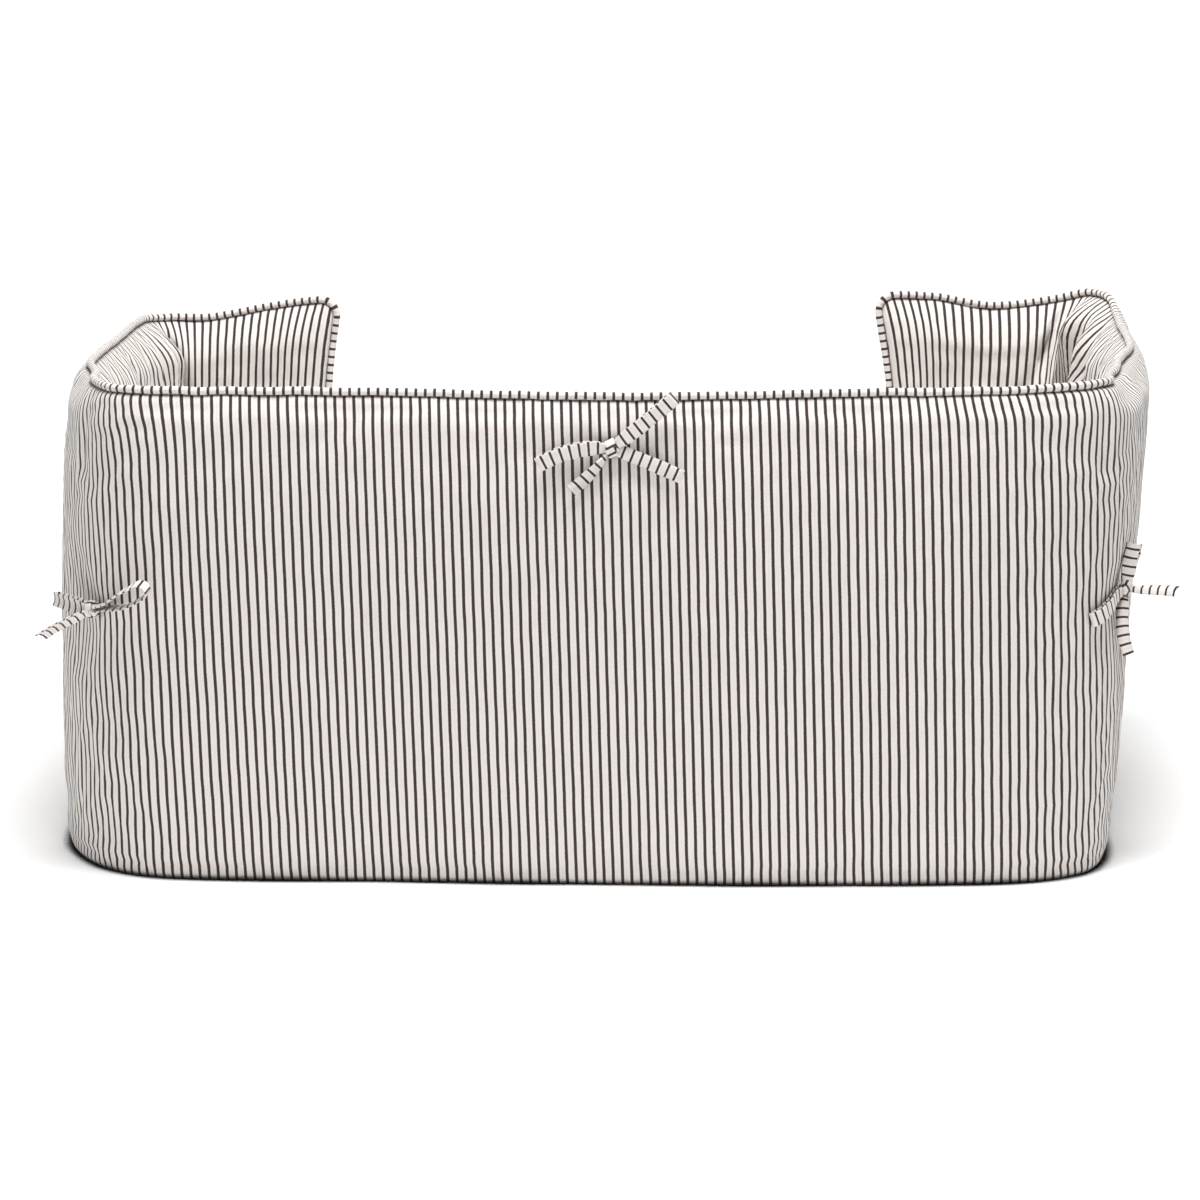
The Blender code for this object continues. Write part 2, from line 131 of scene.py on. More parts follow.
def floor_finish():
    """White paper with a painted contact shadow where hardly any light gets in under the foot, and a faint
    glow.
    """
    paper = bpy.data.materials.new("white paper")
    paper.use_nodes = True
    nodes, links = paper.node_tree.nodes, paper.node_tree.links
    shader = nodes["Principled BSDF"]
    shader.inputs["Roughness"].default_value = 0.9
    shader.inputs["Specular IOR Level"].default_value = 0.1
    # painted contact shadow: the paper's colour goes dark where the foot closes in its surroundings
    crevice = nodes.new("ShaderNodeAmbientOcclusion")
    crevice.samples = 8
    crevice.inputs["Distance"].default_value = CONTACT_REACH
    contact_shadow = nodes.new("ShaderNodeValToRGB")
    dark, white = contact_shadow.color_ramp.elements
    dark.position, dark.color = 0.50, CONTACT_SHADOW_DARK
    white.position, white.color = 0.66, PAPER_WHITE
    links.new(crevice.outputs["AO"], contact_shadow.inputs["Fac"])
    links.new(contact_shadow.outputs["Color"], shader.inputs["Base Color"])
    # the glow takes the same colour: painted light everywhere but in the painted shadow under the foot
    links.new(contact_shadow.outputs["Color"], shader.inputs["Emission Color"])
    shader.inputs["Emission Strength"].default_value = PAPER_GLOW
    return paper


def add_sweep():
    """A floor that turns up into a wall behind, all one sheet of paper."""
    front, reach, radius, wall, half_width = -4.0, 5.0, 1.2, 4.0, 6.0
    profile = [(front, 0.0), (reach - radius, 0.0)]
    profile += [(reach - radius + radius * math.sin(turn), radius - radius * math.cos(turn))
                for turn in np.radians(np.arange(7.5, 90.1, 7.5))]
    profile.append((reach, wall))
    points = [(side * half_width, away, height) for side in (-1, 1) for away, height in profile]
    count = len(profile)
    faces = [(step, count + step, count + step + 1, step + 1) for step in range(count - 1)]
    mesh = bpy.data.meshes.new("sweep")
    mesh.from_pydata(points, [], faces)
    mesh.shade_smooth()
    mesh.materials.append(floor_finish())
    sweep = bpy.data.objects.new("sweep", mesh)
    bpy.context.scene.collection.objects.link(sweep)
    return sweep


print("the floor has", len(add_sweep().data.polygons), "faces")

# %% [markdown]
# ## The line that the band stands on
#
# The band bends to an open C. It isn't a ruled shape: its foot stands on the floor along one curve and its
# seam runs along another, a little wider, because a filled band leans out where nothing holds it. Two plan
# curves and a height are enough to say where the middle of the filling is. They are kept as a short table
# of stations, and a smooth curve runs through each column.

# %% Stations
# name, foot x, foot y, top x, top y, top height, edge shape under the seam
STATIONS = (
    ("left end", -0.222, 0.474, -0.216, 0.478, 0.3640, 0.62),
    ("left door crest", -0.270, 0.482, -0.264, 0.486, 0.3575, 0.60),
    ("left door dip", -0.322, 0.484, -0.321, 0.487, 0.3472, 0.55),
    ("left door turn", -0.353, 0.479, -0.352, 0.480, 0.3480, 0.45),
    ("far left corner", -0.372, 0.460, -0.369, 0.461, 0.3490, 0.35),
    ("left side far", -0.379, 0.426, -0.3725, 0.430, 0.3500, 0.30),
    ("left side middle", -0.3825, 0.300, -0.3745, 0.300, 0.3505, 0.30),
    ("left side near", -0.3835, 0.185, -0.3770, 0.185, 0.3510, 0.30),
    ("left bend", -0.3775, 0.108, -0.3700, 0.118, 0.3515, 0.35),
    ("near left corner", -0.3590, 0.064, -0.3570, 0.066, 0.3515, 0.45),
    ("back left turn", -0.332, 0.038, -0.3370, 0.030, 0.3515, 0.55),
    ("back left", -0.296, 0.0265, -0.3010, 0.0190, 0.3515, 0.60),
    ("back left half", -0.165, 0.0205, -0.1660, 0.0180, 0.3510, 0.62),
    ("back middle", 0.020, 0.0110, 0.0200, 0.0170, 0.3476, 0.62),
    ("back right half", 0.180, 0.0085, 0.1810, 0.0180, 0.3502, 0.62),
    ("back right", 0.274, 0.0125, 0.2800, 0.0170, 0.3518, 0.60),
    ("back right turn", 0.314, 0.0205, 0.3200, 0.0300, 0.3520, 0.55),
    ("near right corner", 0.3435, 0.0410, 0.3535, 0.0535, 0.3520, 0.45),
    ("right bend", 0.356, 0.0800, 0.3730, 0.0920, 0.3520, 0.35),
    ("right side near", 0.362, 0.1450, 0.3875, 0.1500, 0.3520, 0.28),
    ("right side middle", 0.370, 0.2500, 0.4040, 0.2500, 0.3522, 0.28),
    ("right side far", 0.381, 0.3800, 0.4125, 0.3900, 0.3550, 0.30),
    ("far right bend", 0.384, 0.4350, 0.4130, 0.4380, 0.3630, 0.32),
    ("far right corner", 0.377, 0.4670, 0.4010, 0.4720, 0.3690, 0.40),
    ("right door turn", 0.356, 0.4800, 0.3730, 0.4850, 0.3640, 0.50),
    ("right door dip", 0.322, 0.4830, 0.3230, 0.4870, 0.3566, 0.55),
    ("right door crest", 0.286, 0.4820, 0.2720, 0.4850, 0.3645, 0.60),
    ("right end", 0.245, 0.4750, 0.2270, 0.4780, 0.3665, 0.62),
)
FOOT_X, FOOT_Y, TOP_X, TOP_Y, TOP_HEIGHT, EDGE = (
    np.array([row[column] for row in STATIONS]) for column in range(1, 7))

foot_steps = np.hypot(np.diff(FOOT_X), np.diff(FOOT_Y))
top_steps = np.hypot(np.diff(TOP_X), np.diff(TOP_Y))
PLACES = np.concatenate([[0.0], np.cumsum((foot_steps + top_steps) / 2)])
PLACE_OF = {row[0]: place for row, place in zip(STATIONS, PLACES)}
BAND_LENGTH = PLACES[-1]
print("length of the band", round(BAND_LENGTH, 4), "m")

# %% [markdown]
# A smooth curve through each column gives the places between two stations. A curve object could do it too,
# but a formula can be read at any distance at once, and the foot and the top stay in step. The slope at a
# station is that from its neighbour before it to the one after it, so the curve stays close to them all.

# %% Smooth curves through the stations


def smooth(values, along):
    """The smooth curve through one column, read at any distances along the band."""
    last = len(PLACES) - 1
    before = np.maximum(np.arange(last + 1) - 1, 0)
    after = np.minimum(np.arange(last + 1) + 1, last)
    slopes = (values[after] - values[before]) / (PLACES[after] - PLACES[before])
    inside = np.clip(along, 0.0, BAND_LENGTH)
    index = np.clip(np.searchsorted(PLACES, inside) - 1, 0, last - 1)
    span = PLACES[index + 1] - PLACES[index]
    part = (inside - PLACES[index]) / span
    square, cube = part ** 2, part ** 3
    curve = (values[index] * (2 * cube - 3 * square + 1)
             + slopes[index] * span * (cube - 2 * square + part)
             + values[index + 1] * (3 * square - 2 * cube)
             + slopes[index + 1] * span * (cube - square))
    end_slope = np.where(along < 0, slopes[0], slopes[last])
    return curve + end_slope * (along - inside)


FOOT_SHIFT = 0.011      # how far the cloth's foot lies along the band from its top, so that stripes lean


def plan(along, rise):
    """Level place of the middle of the filling, at a share of the height."""
    foot = np.stack([smooth(FOOT_X, along + FOOT_SHIFT), smooth(FOOT_Y, along + FOOT_SHIFT)], -1)
    top = np.stack([smooth(TOP_X, along), smooth(TOP_Y, along)], -1)
    return foot + (top - foot) * np.asarray(rise)[..., None] - MIDDLE[:2]


def heading(along, rise):
    """Level direction of the band."""
    step = 0.004
    ahead = plan(np.minimum(along + step, BAND_LENGTH), rise)
    back = plan(np.maximum(along - step, 0.0), rise)
    return (ahead - back) / np.linalg.norm(ahead - back, axis=-1, keepdims=True)


print("the back's middle stands at", plan(PLACE_OF["back middle"], 0.0).round(4))

# %% [markdown]
# ## The upright slice
#
# Cut across, the band is a tall narrow cushion: flat where it stands, nearly as thick as it will go over
# most of its height, and drawn in to a knife edge at the seam. Towards the two door ends the filling thins
# out in the same way. A power curve does this with two numbers, and it never makes the hard corner that a
# bevelled box would. On the inside the cloth is slack, so there it slopes down from the seam in a fuller
# curve. Both door ends are drawn in between their corners, where the filling pulls the cloth short.

# %% Fullness of the filling
PAD_THICKNESS = 0.037
FOOT_WIDTH = 0.018
PIPING_DIAMETER = 0.0057
SEAM_GAP = 0.0003
CROWN_POWER = 6.0
FOOT_EDGE_POWER = 0.5
INNER_ROUND = 0.036         # how far below the seam the inner cloth reaches its full swell
END_TOP_RADIUS = 0.014
END_FOOT_RADIUS = 0.008
END_TAPER = 0.042
END_DRAW_LEFT = 0.008       # how far the left door end draws in between its corners
END_DRAW_RIGHT = 0.016
END_BOW_POWER = 2.5         # how squarely that curve meets the corners


def end_distance(along):
    """How far the nearer door end is."""
    return np.minimum(along, BAND_LENGTH - along)


def corner_drop(distance, radius):
    """What a rounded corner takes off the height."""
    inside = np.clip(radius - distance, 0.0, radius)
    return radius - np.sqrt(radius ** 2 - inside ** 2)


def seam_height(along):
    """Height of the stitched edge, on which the piping sits."""
    full = smooth(TOP_HEIGHT, along) - PIPING_DIAMETER / 2 - SEAM_GAP
    return full - corner_drop(end_distance(along), END_TOP_RADIUS)


def foot_height(along):
    """Height of the folded edge: zero but for the rounded corners of the door ends."""
    return corner_drop(end_distance(along), END_FOOT_RADIUS)


def crown(share, edge):
    """Share of the full thickness between the floor, 0, and the seam, 1."""
    foot = FOOT_WIDTH / PAD_THICKNESS
    top_side = (1 - share ** CROWN_POWER) ** edge
    foot_side = (1 - (1 - share) ** CROWN_POWER) ** FOOT_EDGE_POWER
    return top_side * (foot + (1 - foot) * foot_side)


def inner_crown(share, drop):
    """The same on the inside, where the cloth is slack."""
    foot = FOOT_WIDTH / PAD_THICKNESS
    foot_side = (1 - (1 - share) ** CROWN_POWER) ** FOOT_EDGE_POWER
    return (1 - np.clip(1 - drop / INNER_ROUND, 0, 1) ** 2) * (foot + (1 - foot) * foot_side)


def end_fill(along):
    """Share of the thickness that is left near a door end."""
    near = np.clip(end_distance(along) / END_TAPER, 0.0, 1.0)
    return np.sqrt(1 - (1 - near) ** 2)


def end_draw(along, height, full_height):
    """How far a point moves along the band because its door end is drawn in."""
    bow = 1 - np.minimum(np.abs(2 * height / full_height - 1), 1.0) ** END_BOW_POWER
    left = np.maximum(0.0, 1 - along / (2 * END_TAPER))
    right = np.maximum(0.0, 1 - (BAND_LENGTH - along) / (2 * END_TAPER))
    return bow * (END_DRAW_LEFT * left ** 2 - END_DRAW_RIGHT * right ** 2)


print("half way up the band is", round(float(PAD_THICKNESS * crown(0.5, EDGE[0])), 4), "m thick")

# %% [markdown]
# ## Folds
#
# Where a filled band turns a corner, the outer cloth is stretched and the inner cloth has too much length.
# It has to go somewhere, so it bulges in ridges with sharp troughs between them. The ties pull dimples.
# Each fold is a line drawn on the flat cloth, from an upper to a lower end. Places along the band are
# counted from a station, and a drop is how far below the seam the end lies. Sculpting by hand would do it
# too, but a row of seven numbers can be read, moved and shared with the solids.

# %% Large folds and dimples
# face (-1 outside, 1 inside), station, along and drop of the upper end, of the lower end, half width, depth
FOLDS = (
    (1, "far left corner", -0.014, 0.000, -0.052, 0.100, 0.0080, 0.0080),
    (1, "far left corner", 0.006, 0.000, -0.022, 0.130, 0.0160, -0.0195),
    (1, "far left corner", 0.040, 0.000, 0.030, 0.230, 0.0100, 0.0060),
    (1, "far left corner", -0.010, 0.110, -0.006, 0.340, 0.0110, 0.0090),
    (1, "far right corner", 0.014, 0.000, 0.050, 0.090, 0.0080, 0.0070),
    (1, "far right corner", -0.010, 0.000, 0.036, 0.094, 0.0110, -0.0130),
    (1, "far right corner", -0.028, 0.006, 0.010, 0.110, 0.0090, 0.0090),
    (1, "far right corner", -0.060, 0.000, -0.040, 0.160, 0.0100, 0.0060),
    (1, "far right corner", 0.010, 0.110, 0.002, 0.340, 0.0110, 0.0090),
    (1, "near left corner", 0.002, 0.000, -0.002, 0.334, 0.0110, 0.0085),
    (1, "near left corner", 0.028, 0.014, 0.036, 0.278, 0.0100, 0.0045),
    (1, "near right corner", 0.000, 0.000, 0.008, 0.334, 0.0110, 0.0085),
    (1, "near right corner", -0.025, 0.017, -0.034, 0.296, 0.0100, 0.0045),
    (-1, "far left corner", 0.008, 0.000, 0.006, 0.132, 0.0080, 0.0030),
    (-1, "far right corner", -0.001, 0.000, -0.003, 0.157, 0.0080, 0.0040),
    (-1, "near left corner", 0.009, 0.000, 0.007, 0.070, 0.0080, 0.0030),
    (-1, "near right corner", -0.009, 0.000, -0.007, 0.070, 0.0080, 0.0030),
)
# station, along, height, half width, half height, depth
DIMPLES = (
    ("back middle", -0.014, 0.309, 0.022, 0.016, 0.0020),
    ("near left corner", -0.004, 0.190, 0.028, 0.040, 0.0050),
    ("near right corner", 0.036, 0.192, 0.042, 0.048, 0.0080),
)


print(len(FOLDS), "folds and", len(DIMPLES), "dimples")

# %% [markdown]
# Finer forms are drawn in the same way, for the looks alone. Thin deep creases fan out from the two far top
# corners, where the stitches of the seam gather the cloth, with a wide soft swelling round each fan. Low
# ripples follow each other down the side walls, ridge and trough in turn.

# %% Small creases and ripples
# columns as for the folds
CREASES = (
    (1, "far right corner", -0.026, 0.000, -0.012, 0.260, 0.0500, -0.0080),
    (1, "far right corner", 0.019, 0.002, 0.038, 0.052, 0.0024, 0.0062),
    (1, "far right corner", 0.030, 0.004, 0.040, 0.080, 0.0040, -0.0018),
    (1, "far right corner", 0.002, 0.004, 0.022, 0.066, 0.0030, 0.0026),
    (1, "far right corner", -0.018, 0.004, 0.004, 0.070, 0.0030, -0.0020),
    (1, "far right corner", -0.036, 0.003, -0.006, 0.074, 0.0035, 0.0030),
    (1, "far right corner", -0.050, 0.003, -0.024, 0.080, 0.0040, -0.0024),
    (1, "far right corner", -0.072, 0.002, -0.048, 0.090, 0.0060, 0.0026),
    (1, "far right corner", -0.100, 0.002, -0.080, 0.080, 0.0070, -0.0022),
    (1, "far right corner", -0.138, 0.002, -0.110, 0.080, 0.0080, 0.0026),
    (1, "far right corner", -0.176, 0.002, -0.150, 0.070, 0.0080, -0.0022),
    (1, "near right corner", 0.120, 0.001, 0.150, 0.050, 0.0060, 0.0034),
    (1, "near right corner", 0.092, 0.001, 0.120, 0.050, 0.0070, -0.0030),
    (1, "near right corner", 0.070, 0.001, 0.094, 0.044, 0.0050, 0.0034),
    (1, "far left corner", 0.020, 0.000, 0.006, 0.260, 0.0450, -0.0070),
    (1, "far left corner", 0.006, 0.000, -0.014, 0.078, 0.0150, 0.0095),
    (1, "far left corner", -0.017, 0.003, -0.036, 0.066, 0.0024, 0.0064),
    (1, "far left corner", 0.016, 0.003, 0.000, 0.070, 0.0030, 0.0022),
    (1, "far left corner", 0.026, 0.003, 0.012, 0.064, 0.0030, -0.0020),
    (1, "far left corner", 0.044, 0.003, 0.034, 0.090, 0.0045, 0.0028),
    (1, "far left corner", 0.062, 0.003, 0.056, 0.090, 0.0060, -0.0024),
    (1, "far left corner", 0.088, 0.002, 0.076, 0.080, 0.0070, 0.0030),
    (1, "far left corner", 0.118, 0.002, 0.104, 0.080, 0.0080, -0.0026),
    (1, "far left corner", 0.150, 0.002, 0.132, 0.070, 0.0080, 0.0030),
    (1, "far left corner", 0.190, 0.002, 0.172, 0.070, 0.0080, -0.0026),
    (1, "far left corner", 0.232, 0.002, 0.212, 0.060, 0.0080, 0.0030),
    (1, "far left corner", 0.276, 0.002, 0.258, 0.050, 0.0080, -0.0024),
)
print(len(CREASES), "creases and ripples")

# %% [markdown]
# A fold's cross section is a bell curve: it has no edge that would catch the light. Along its line it starts
# and dies out softly, unless it starts at the seam itself. All of them are added up at each point.

# %% The depth of the folds
FOLD_FADE = 0.22        # share of a fold's length over which it starts and dies out


def eased(part):
    """A soft step from 0 to 1."""
    inside = np.clip(part, 0.0, 1.0)
    return inside * inside * (3 - 2 * inside)


def fold_shape(row, along, drop):
    """Depth of one fold: full along its line, softly gone past its ends and its half width."""
    start, top, stop, bottom, half_width, depth = row
    run, fall = stop - start, bottom - top
    length = np.hypot(run, fall)
    part = ((along - start) * run + (drop - top) * fall) / length ** 2
    across = ((along - start) * fall - (drop - top) * run) / length
    begin = 1.0 if top == 0.0 else eased(part / FOLD_FADE)
    return depth * np.exp(-(across / half_width) ** 2) * begin * eased((1 - part) / FOLD_FADE)


def fold_depth(face, along, share):
    """How deep all folds, creases and dimples together lie at a point of a face."""
    low, high = foot_height(along), seam_height(along)
    height = low + (high - low) * share
    depth = np.zeros(np.broadcast(along, share).shape)
    for row in FOLDS + CREASES:
        if row[0] == face:
            depth += fold_shape(row[2:], along - PLACE_OF[row[1]], high - height)
    if face < 0:
        for station, place, centre_height, half_width, half_height, deep in DIMPLES:
            across = (along - PLACE_OF[station] - place) / half_width
            depth += deep * np.exp(-across ** 2 - ((height - centre_height) / half_height) ** 2)
    return depth


# %% [markdown]
# ## Where the seam is drawn in
#
# The seam isn't smooth at three of its corners. There its stitches draw the cloth in, down or up, and the
# cloth right below follows. The points of a face put everything together: the plan, the swell, the folds
# and the pinches.

# %% Points of a face
# station, along, half width, how far the seam is drawn inwards there, and down (up where negative)
PINCHES = (
    ("near right corner", 0.056, 0.030, 0.0080, 0.0020),
    ("near right corner", 0.130, 0.070, 0.0100, 0.0010),
    ("near left corner", -0.062, 0.036, 0.0060, 0.0020),
    ("far right corner", -0.026, 0.016, 0.0000, -0.0030),
    ("far right corner", 0.030, 0.020, 0.0000, 0.0015),
)
PINCH_DEPTH = 0.022     # of the face below the seam that follows it


def pinch(along, drop):
    """How far the seam's stitches draw the cloth inwards and down, at a drop below the seam."""
    pull = eased(1 - drop / PINCH_DEPTH)
    inwards, down = np.zeros(pull.shape), np.zeros(pull.shape)
    for station, place, half_width, draw, lower in PINCHES:
        near = pull * np.exp(-((along - PLACE_OF[station] - place) / half_width) ** 2)
        inwards += draw * near
        down += lower * near
    return inwards, down


def face_points(face, along, share):
    """Points of the outer (face -1) or inner (face 1) cloth."""
    low, high = foot_height(along), seam_height(along)
    height = low + (high - low) * share
    full_height = smooth(TOP_HEIGHT, along)
    rise = height / full_height
    fill = end_fill(along)
    fullness = crown(share, smooth(EDGE, along)) if face < 0 else inner_crown(share, high - height)
    half = PAD_THICKNESS / 2 * fullness * fill
    half = half - fold_depth(face, along, share) * fullness * fill * (share > 0)
    inwards, down = pinch(along, high - height)
    middle = plan(along, rise) + heading(along, rise) * end_draw(along, height, full_height)[..., None]
    direction = heading(along, height / high)
    inward = np.stack([-direction[..., 1], direction[..., 0]], -1)
    level = middle + inward * (face * half + inwards)[..., None]
    return np.concatenate([level, (height - down)[..., None]], -1)


crest = face_points(-1, PLACE_OF["back middle"] + np.zeros(1), np.ones(1))[0]
print("the seam runs", round(float(crest[2]), 4), "m up at the middle of the back")

# %% [markdown]
# ## The cloth as a grid
#
# A woven cloth is a grid already: stripes run one way and threads cross them. The pad is therefore built as
# a grid of columns along the band and rows up each face, and every corner of it remembers where it was on
# the flat cloth. The stripes are painted with those numbers later, so they bend wherever the cloth bends.

# %% Columns and rows
COLUMN_STEP = 0.0062
CORNER_STEP = 0.0048
CORNER_REACH = 0.075    # of the closer columns, to each side of a corner
ROWS = 37               # on each face, before the grid is doubled
END_TURNS = np.radians([0.0, 16.0, 32.0, 48.0, 62.0, 76.0, 90.0])      # columns round a rounded end


def pad_columns():
    """Distances along the band, closer together at the bends and at the two ends."""
    ends = list(END_TOP_RADIUS * (1 - np.cos(END_TURNS)))
    bends = [PLACE_OF[name] for name in
             ("far left corner", "near left corner", "near right corner", "far right corner")]
    columns = list(ends)
    while columns[-1] < BAND_LENGTH - END_TOP_RADIUS:
        near = min(abs(columns[-1] - bend) for bend in bends)
        columns.append(columns[-1] + (CORNER_STEP if near < CORNER_REACH else COLUMN_STEP))
    span = (BAND_LENGTH - END_TOP_RADIUS - ends[-1]) / (columns[-1] - ends[-1])
    middle = [ends[-1] + (place - ends[-1]) * span for place in columns[len(ends):]]
    return np.array(ends + middle + [BAND_LENGTH - place for place in reversed(ends[:-1])])


def pad_rows(count):
    """Shares of the height, closer together at the floor and at the seam."""
    steps = np.arange(count) / (count - 1)
    return 0.45 * steps + 0.55 * (1 - np.cos(np.pi * steps)) / 2


def doubled(values):
    """The values with one more half way between each two."""
    result = np.empty((2 * len(values) - 1, *values.shape[1:]))
    result[::2] = values
    result[1::2] = (values[1:] + values[:-1]) / 2
    return result


columns = pad_columns()
rows = pad_rows(ROWS)
fine_columns = doubled(columns)
fine_rows = doubled(rows)
ALONG, SHARE = np.meshgrid(fine_columns, fine_rows, indexing="ij")
print(len(fine_columns), "columns and", len(fine_rows), "rows on each face")

# %% [markdown]
# ## Stripes that follow the cloth
#
# Cloth hardly stretches, so on the outside the stripes are evenly spaced along the face itself, wherever
# that face bends. The seam is shorter than the face at a corner, and the stripes crowd together there. The
# inside has cloth to spare: its stripes are counted along the middle of the band, and the two far corners
# drag some of it round in a bunch. A pull is a soft bump that moves cloth along the band. Unwrapping the
# mesh would keep the stripes even too, but it would know nothing of the seam that gathers them.

# %% Places on the flat cloth
HANG_LINE = PLACE_OF["back middle"] - 0.0215    # where the outer cloth hangs with neither pull nor push
GATHER_SHARE = 0.93                             # above it the outer cloth is gathered into the seam

# face, station, along, half width before and after it, drop, half height, shift
PULLS = (
    (1, "far right corner", -0.028, 0.080, 0.029, 0.098, 0.058, -0.054),
    (1, "far left corner", 0.040, 0.044, 0.080, 0.085, 0.055, 0.026),
    (-1, "back left turn", -0.010, 0.045, 0.045, -0.004, 0.026, 0.0100),
    (-1, "back right turn", 0.016, 0.036, 0.036, -0.004, 0.026, -0.0060),
    (-1, "back right", 0.000, 0.070, 0.070, -0.006, 0.018, 0.0040),
)


def outer_lengths(points):
    """Length of the outer cloth along each row of the grid, counted from the line where it hangs quietly."""
    steps = np.linalg.norm(np.diff(points[..., :2], axis=0), axis=-1)
    lengths = np.concatenate([np.zeros((1, steps.shape[1])), np.cumsum(steps, axis=0)])
    gathered = np.searchsorted(fine_rows, GATHER_SHARE)
    lengths[:, gathered:] = lengths[:, gathered:gathered + 1]
    quiet = [np.interp(HANG_LINE, fine_columns, row) for row in lengths.T]
    return lengths - quiet + HANG_LINE


def cloth_place(face, points):
    """Distance along the flat cloth of each point of a face."""
    moved = outer_lengths(points) if face < 0 else ALONG.copy()
    drop = (seam_height(ALONG) - foot_height(ALONG)) * (1 - SHARE)
    for side, station, place, before, after, middle_drop, half_height, shift in PULLS:
        if side == face:
            across = ALONG - PLACE_OF[station] - place
            across = across / np.where(across < 0, before, after)
            up = (drop - middle_drop) / half_height
            moved = moved + shift * np.exp(-across ** 2 - up ** 2)
    return moved


print(len(PULLS), "pulls in the cloth")

# %% [markdown]
# The two faces become one closed mesh, as the sewn cover is one bag. They share the points of the seam and
# of both ends, and a strip of faces joins them under the foot. Each corner of a face is remembered as side,
# column and row, so that the map of the flat cloth can differ on the two sides of the seam.

# %% A closed mesh from the two faces


def seam_and_ends(wide, high):
    """Which points of a grid both faces share."""
    shared = np.zeros((wide, high), bool)
    shared[[0, -1], :] = True
    shared[:, -1] = True
    return shared


def pad_mesh(name, outer, inner):
    """One closed mesh: the two faces share their seam and both ends, and a strip joins them at the floor."""
    wide, high = outer.shape[:2]
    outside = np.arange(wide * high).reshape(wide, high)
    shared = seam_and_ends(wide, high)
    inside = np.where(shared, outside, wide * high + np.cumsum(~shared).reshape(wide, high) - 1)
    points = np.concatenate([outer.reshape(-1, 3), inner[~shared]])
    faces, corners = [], []
    for i in range(wide - 1):
        for j in range(high - 1):
            faces.append((outside[i, j], outside[i + 1, j], outside[i + 1, j + 1], outside[i, j + 1]))
            corners.append([(-1, i, j), (-1, i + 1, j), (-1, i + 1, j + 1), (-1, i, j + 1)])
            faces.append((inside[i, j], inside[i, j + 1], inside[i + 1, j + 1], inside[i + 1, j]))
            corners.append([(1, i, j), (1, i, j + 1), (1, i + 1, j + 1), (1, i + 1, j)])
        strip = [(outside[i, 0], (-1, i, 0)), (inside[i, 0], (1, i, 0)),
                 (inside[i + 1, 0], (1, i + 1, 0)), (outside[i + 1, 0], (-1, i + 1, 0))]
        kept = [pair for place, pair in enumerate(strip) if pair[0] not in [p[0] for p in strip[:place]]]
        faces.append(tuple(pair[0] for pair in kept))
        corners.append([pair[1] for pair in kept])
    mesh = bpy.data.meshes.new(name)
    mesh.from_pydata(points.tolist(), [], [tuple(int(index) for index in face) for face in faces])
    mesh.shade_smooth()
    return mesh, corners


def lay_out(mesh, corners, places, lengths):
    """A map of the flat cloth, in metres along the band and metres of cloth up a face."""
    layer = mesh.uv_layers.new(name="cloth")
    flat = [(places[side][i, j], side * (FOOT_WIDTH / 2 + lengths[i, j]))
            for face in corners for side, i, j in face]
    layer.uv.foreach_set("vector", np.array(flat, np.float32).ravel())


# %% [markdown]
# ## Letting the filling push
#
# Stuffed cotton is never as even as a drawing. The filling presses from inside, the cloth has a little more
# length than it needs, and it buckles in low soft waves. A short cloth simulation finds them: the seam, the
# floor edge and the door ends are pinned, and a weak hold everywhere else stands for the filling. What each
# point moved is then capped and given to the fine grid. The seed of the waves is the shape alone, so every
# run ends the same.

# %% A short cloth simulation
SETTLE_STEPS = 22
SETTLE_CAP = 0.0022         # the most that a point moves
FILLING_HOLD = 0.16         # how firmly the filling holds each point
HELD_FOOT = 0.03            # share of a face, from the floor up, that is held more firmly
HELD_SEAM = 0.035           # the same from the seam down
HELD_END = 0.03             # the same in metres, from a door end
CLOTH = {
    "quality": 5,
    "mass": 0.0006,
    "tension_stiffness": 20.0,
    "compression_stiffness": 20.0,
    "shear_stiffness": 5.0,
    "bending_stiffness": 0.05,
    "pin_stiffness": 1.0,
    "shrink_min": -0.012,           # negative: the cloth is longer than the shape needs
    "use_pressure": True,
    "uniform_pressure_force": 0.06,
}


def held_weights():
    """How firmly each point of the coarse grid is held: fully at the edges, weakly elsewhere."""
    near_edge = np.minimum(rows[None, :] / HELD_FOOT, (1 - rows[None, :]) / HELD_SEAM)
    near_end = end_distance(columns)[:, None] / HELD_END
    free = eased(np.minimum(near_edge, near_end))
    return 1.0 - (1.0 - FILLING_HOLD) * free


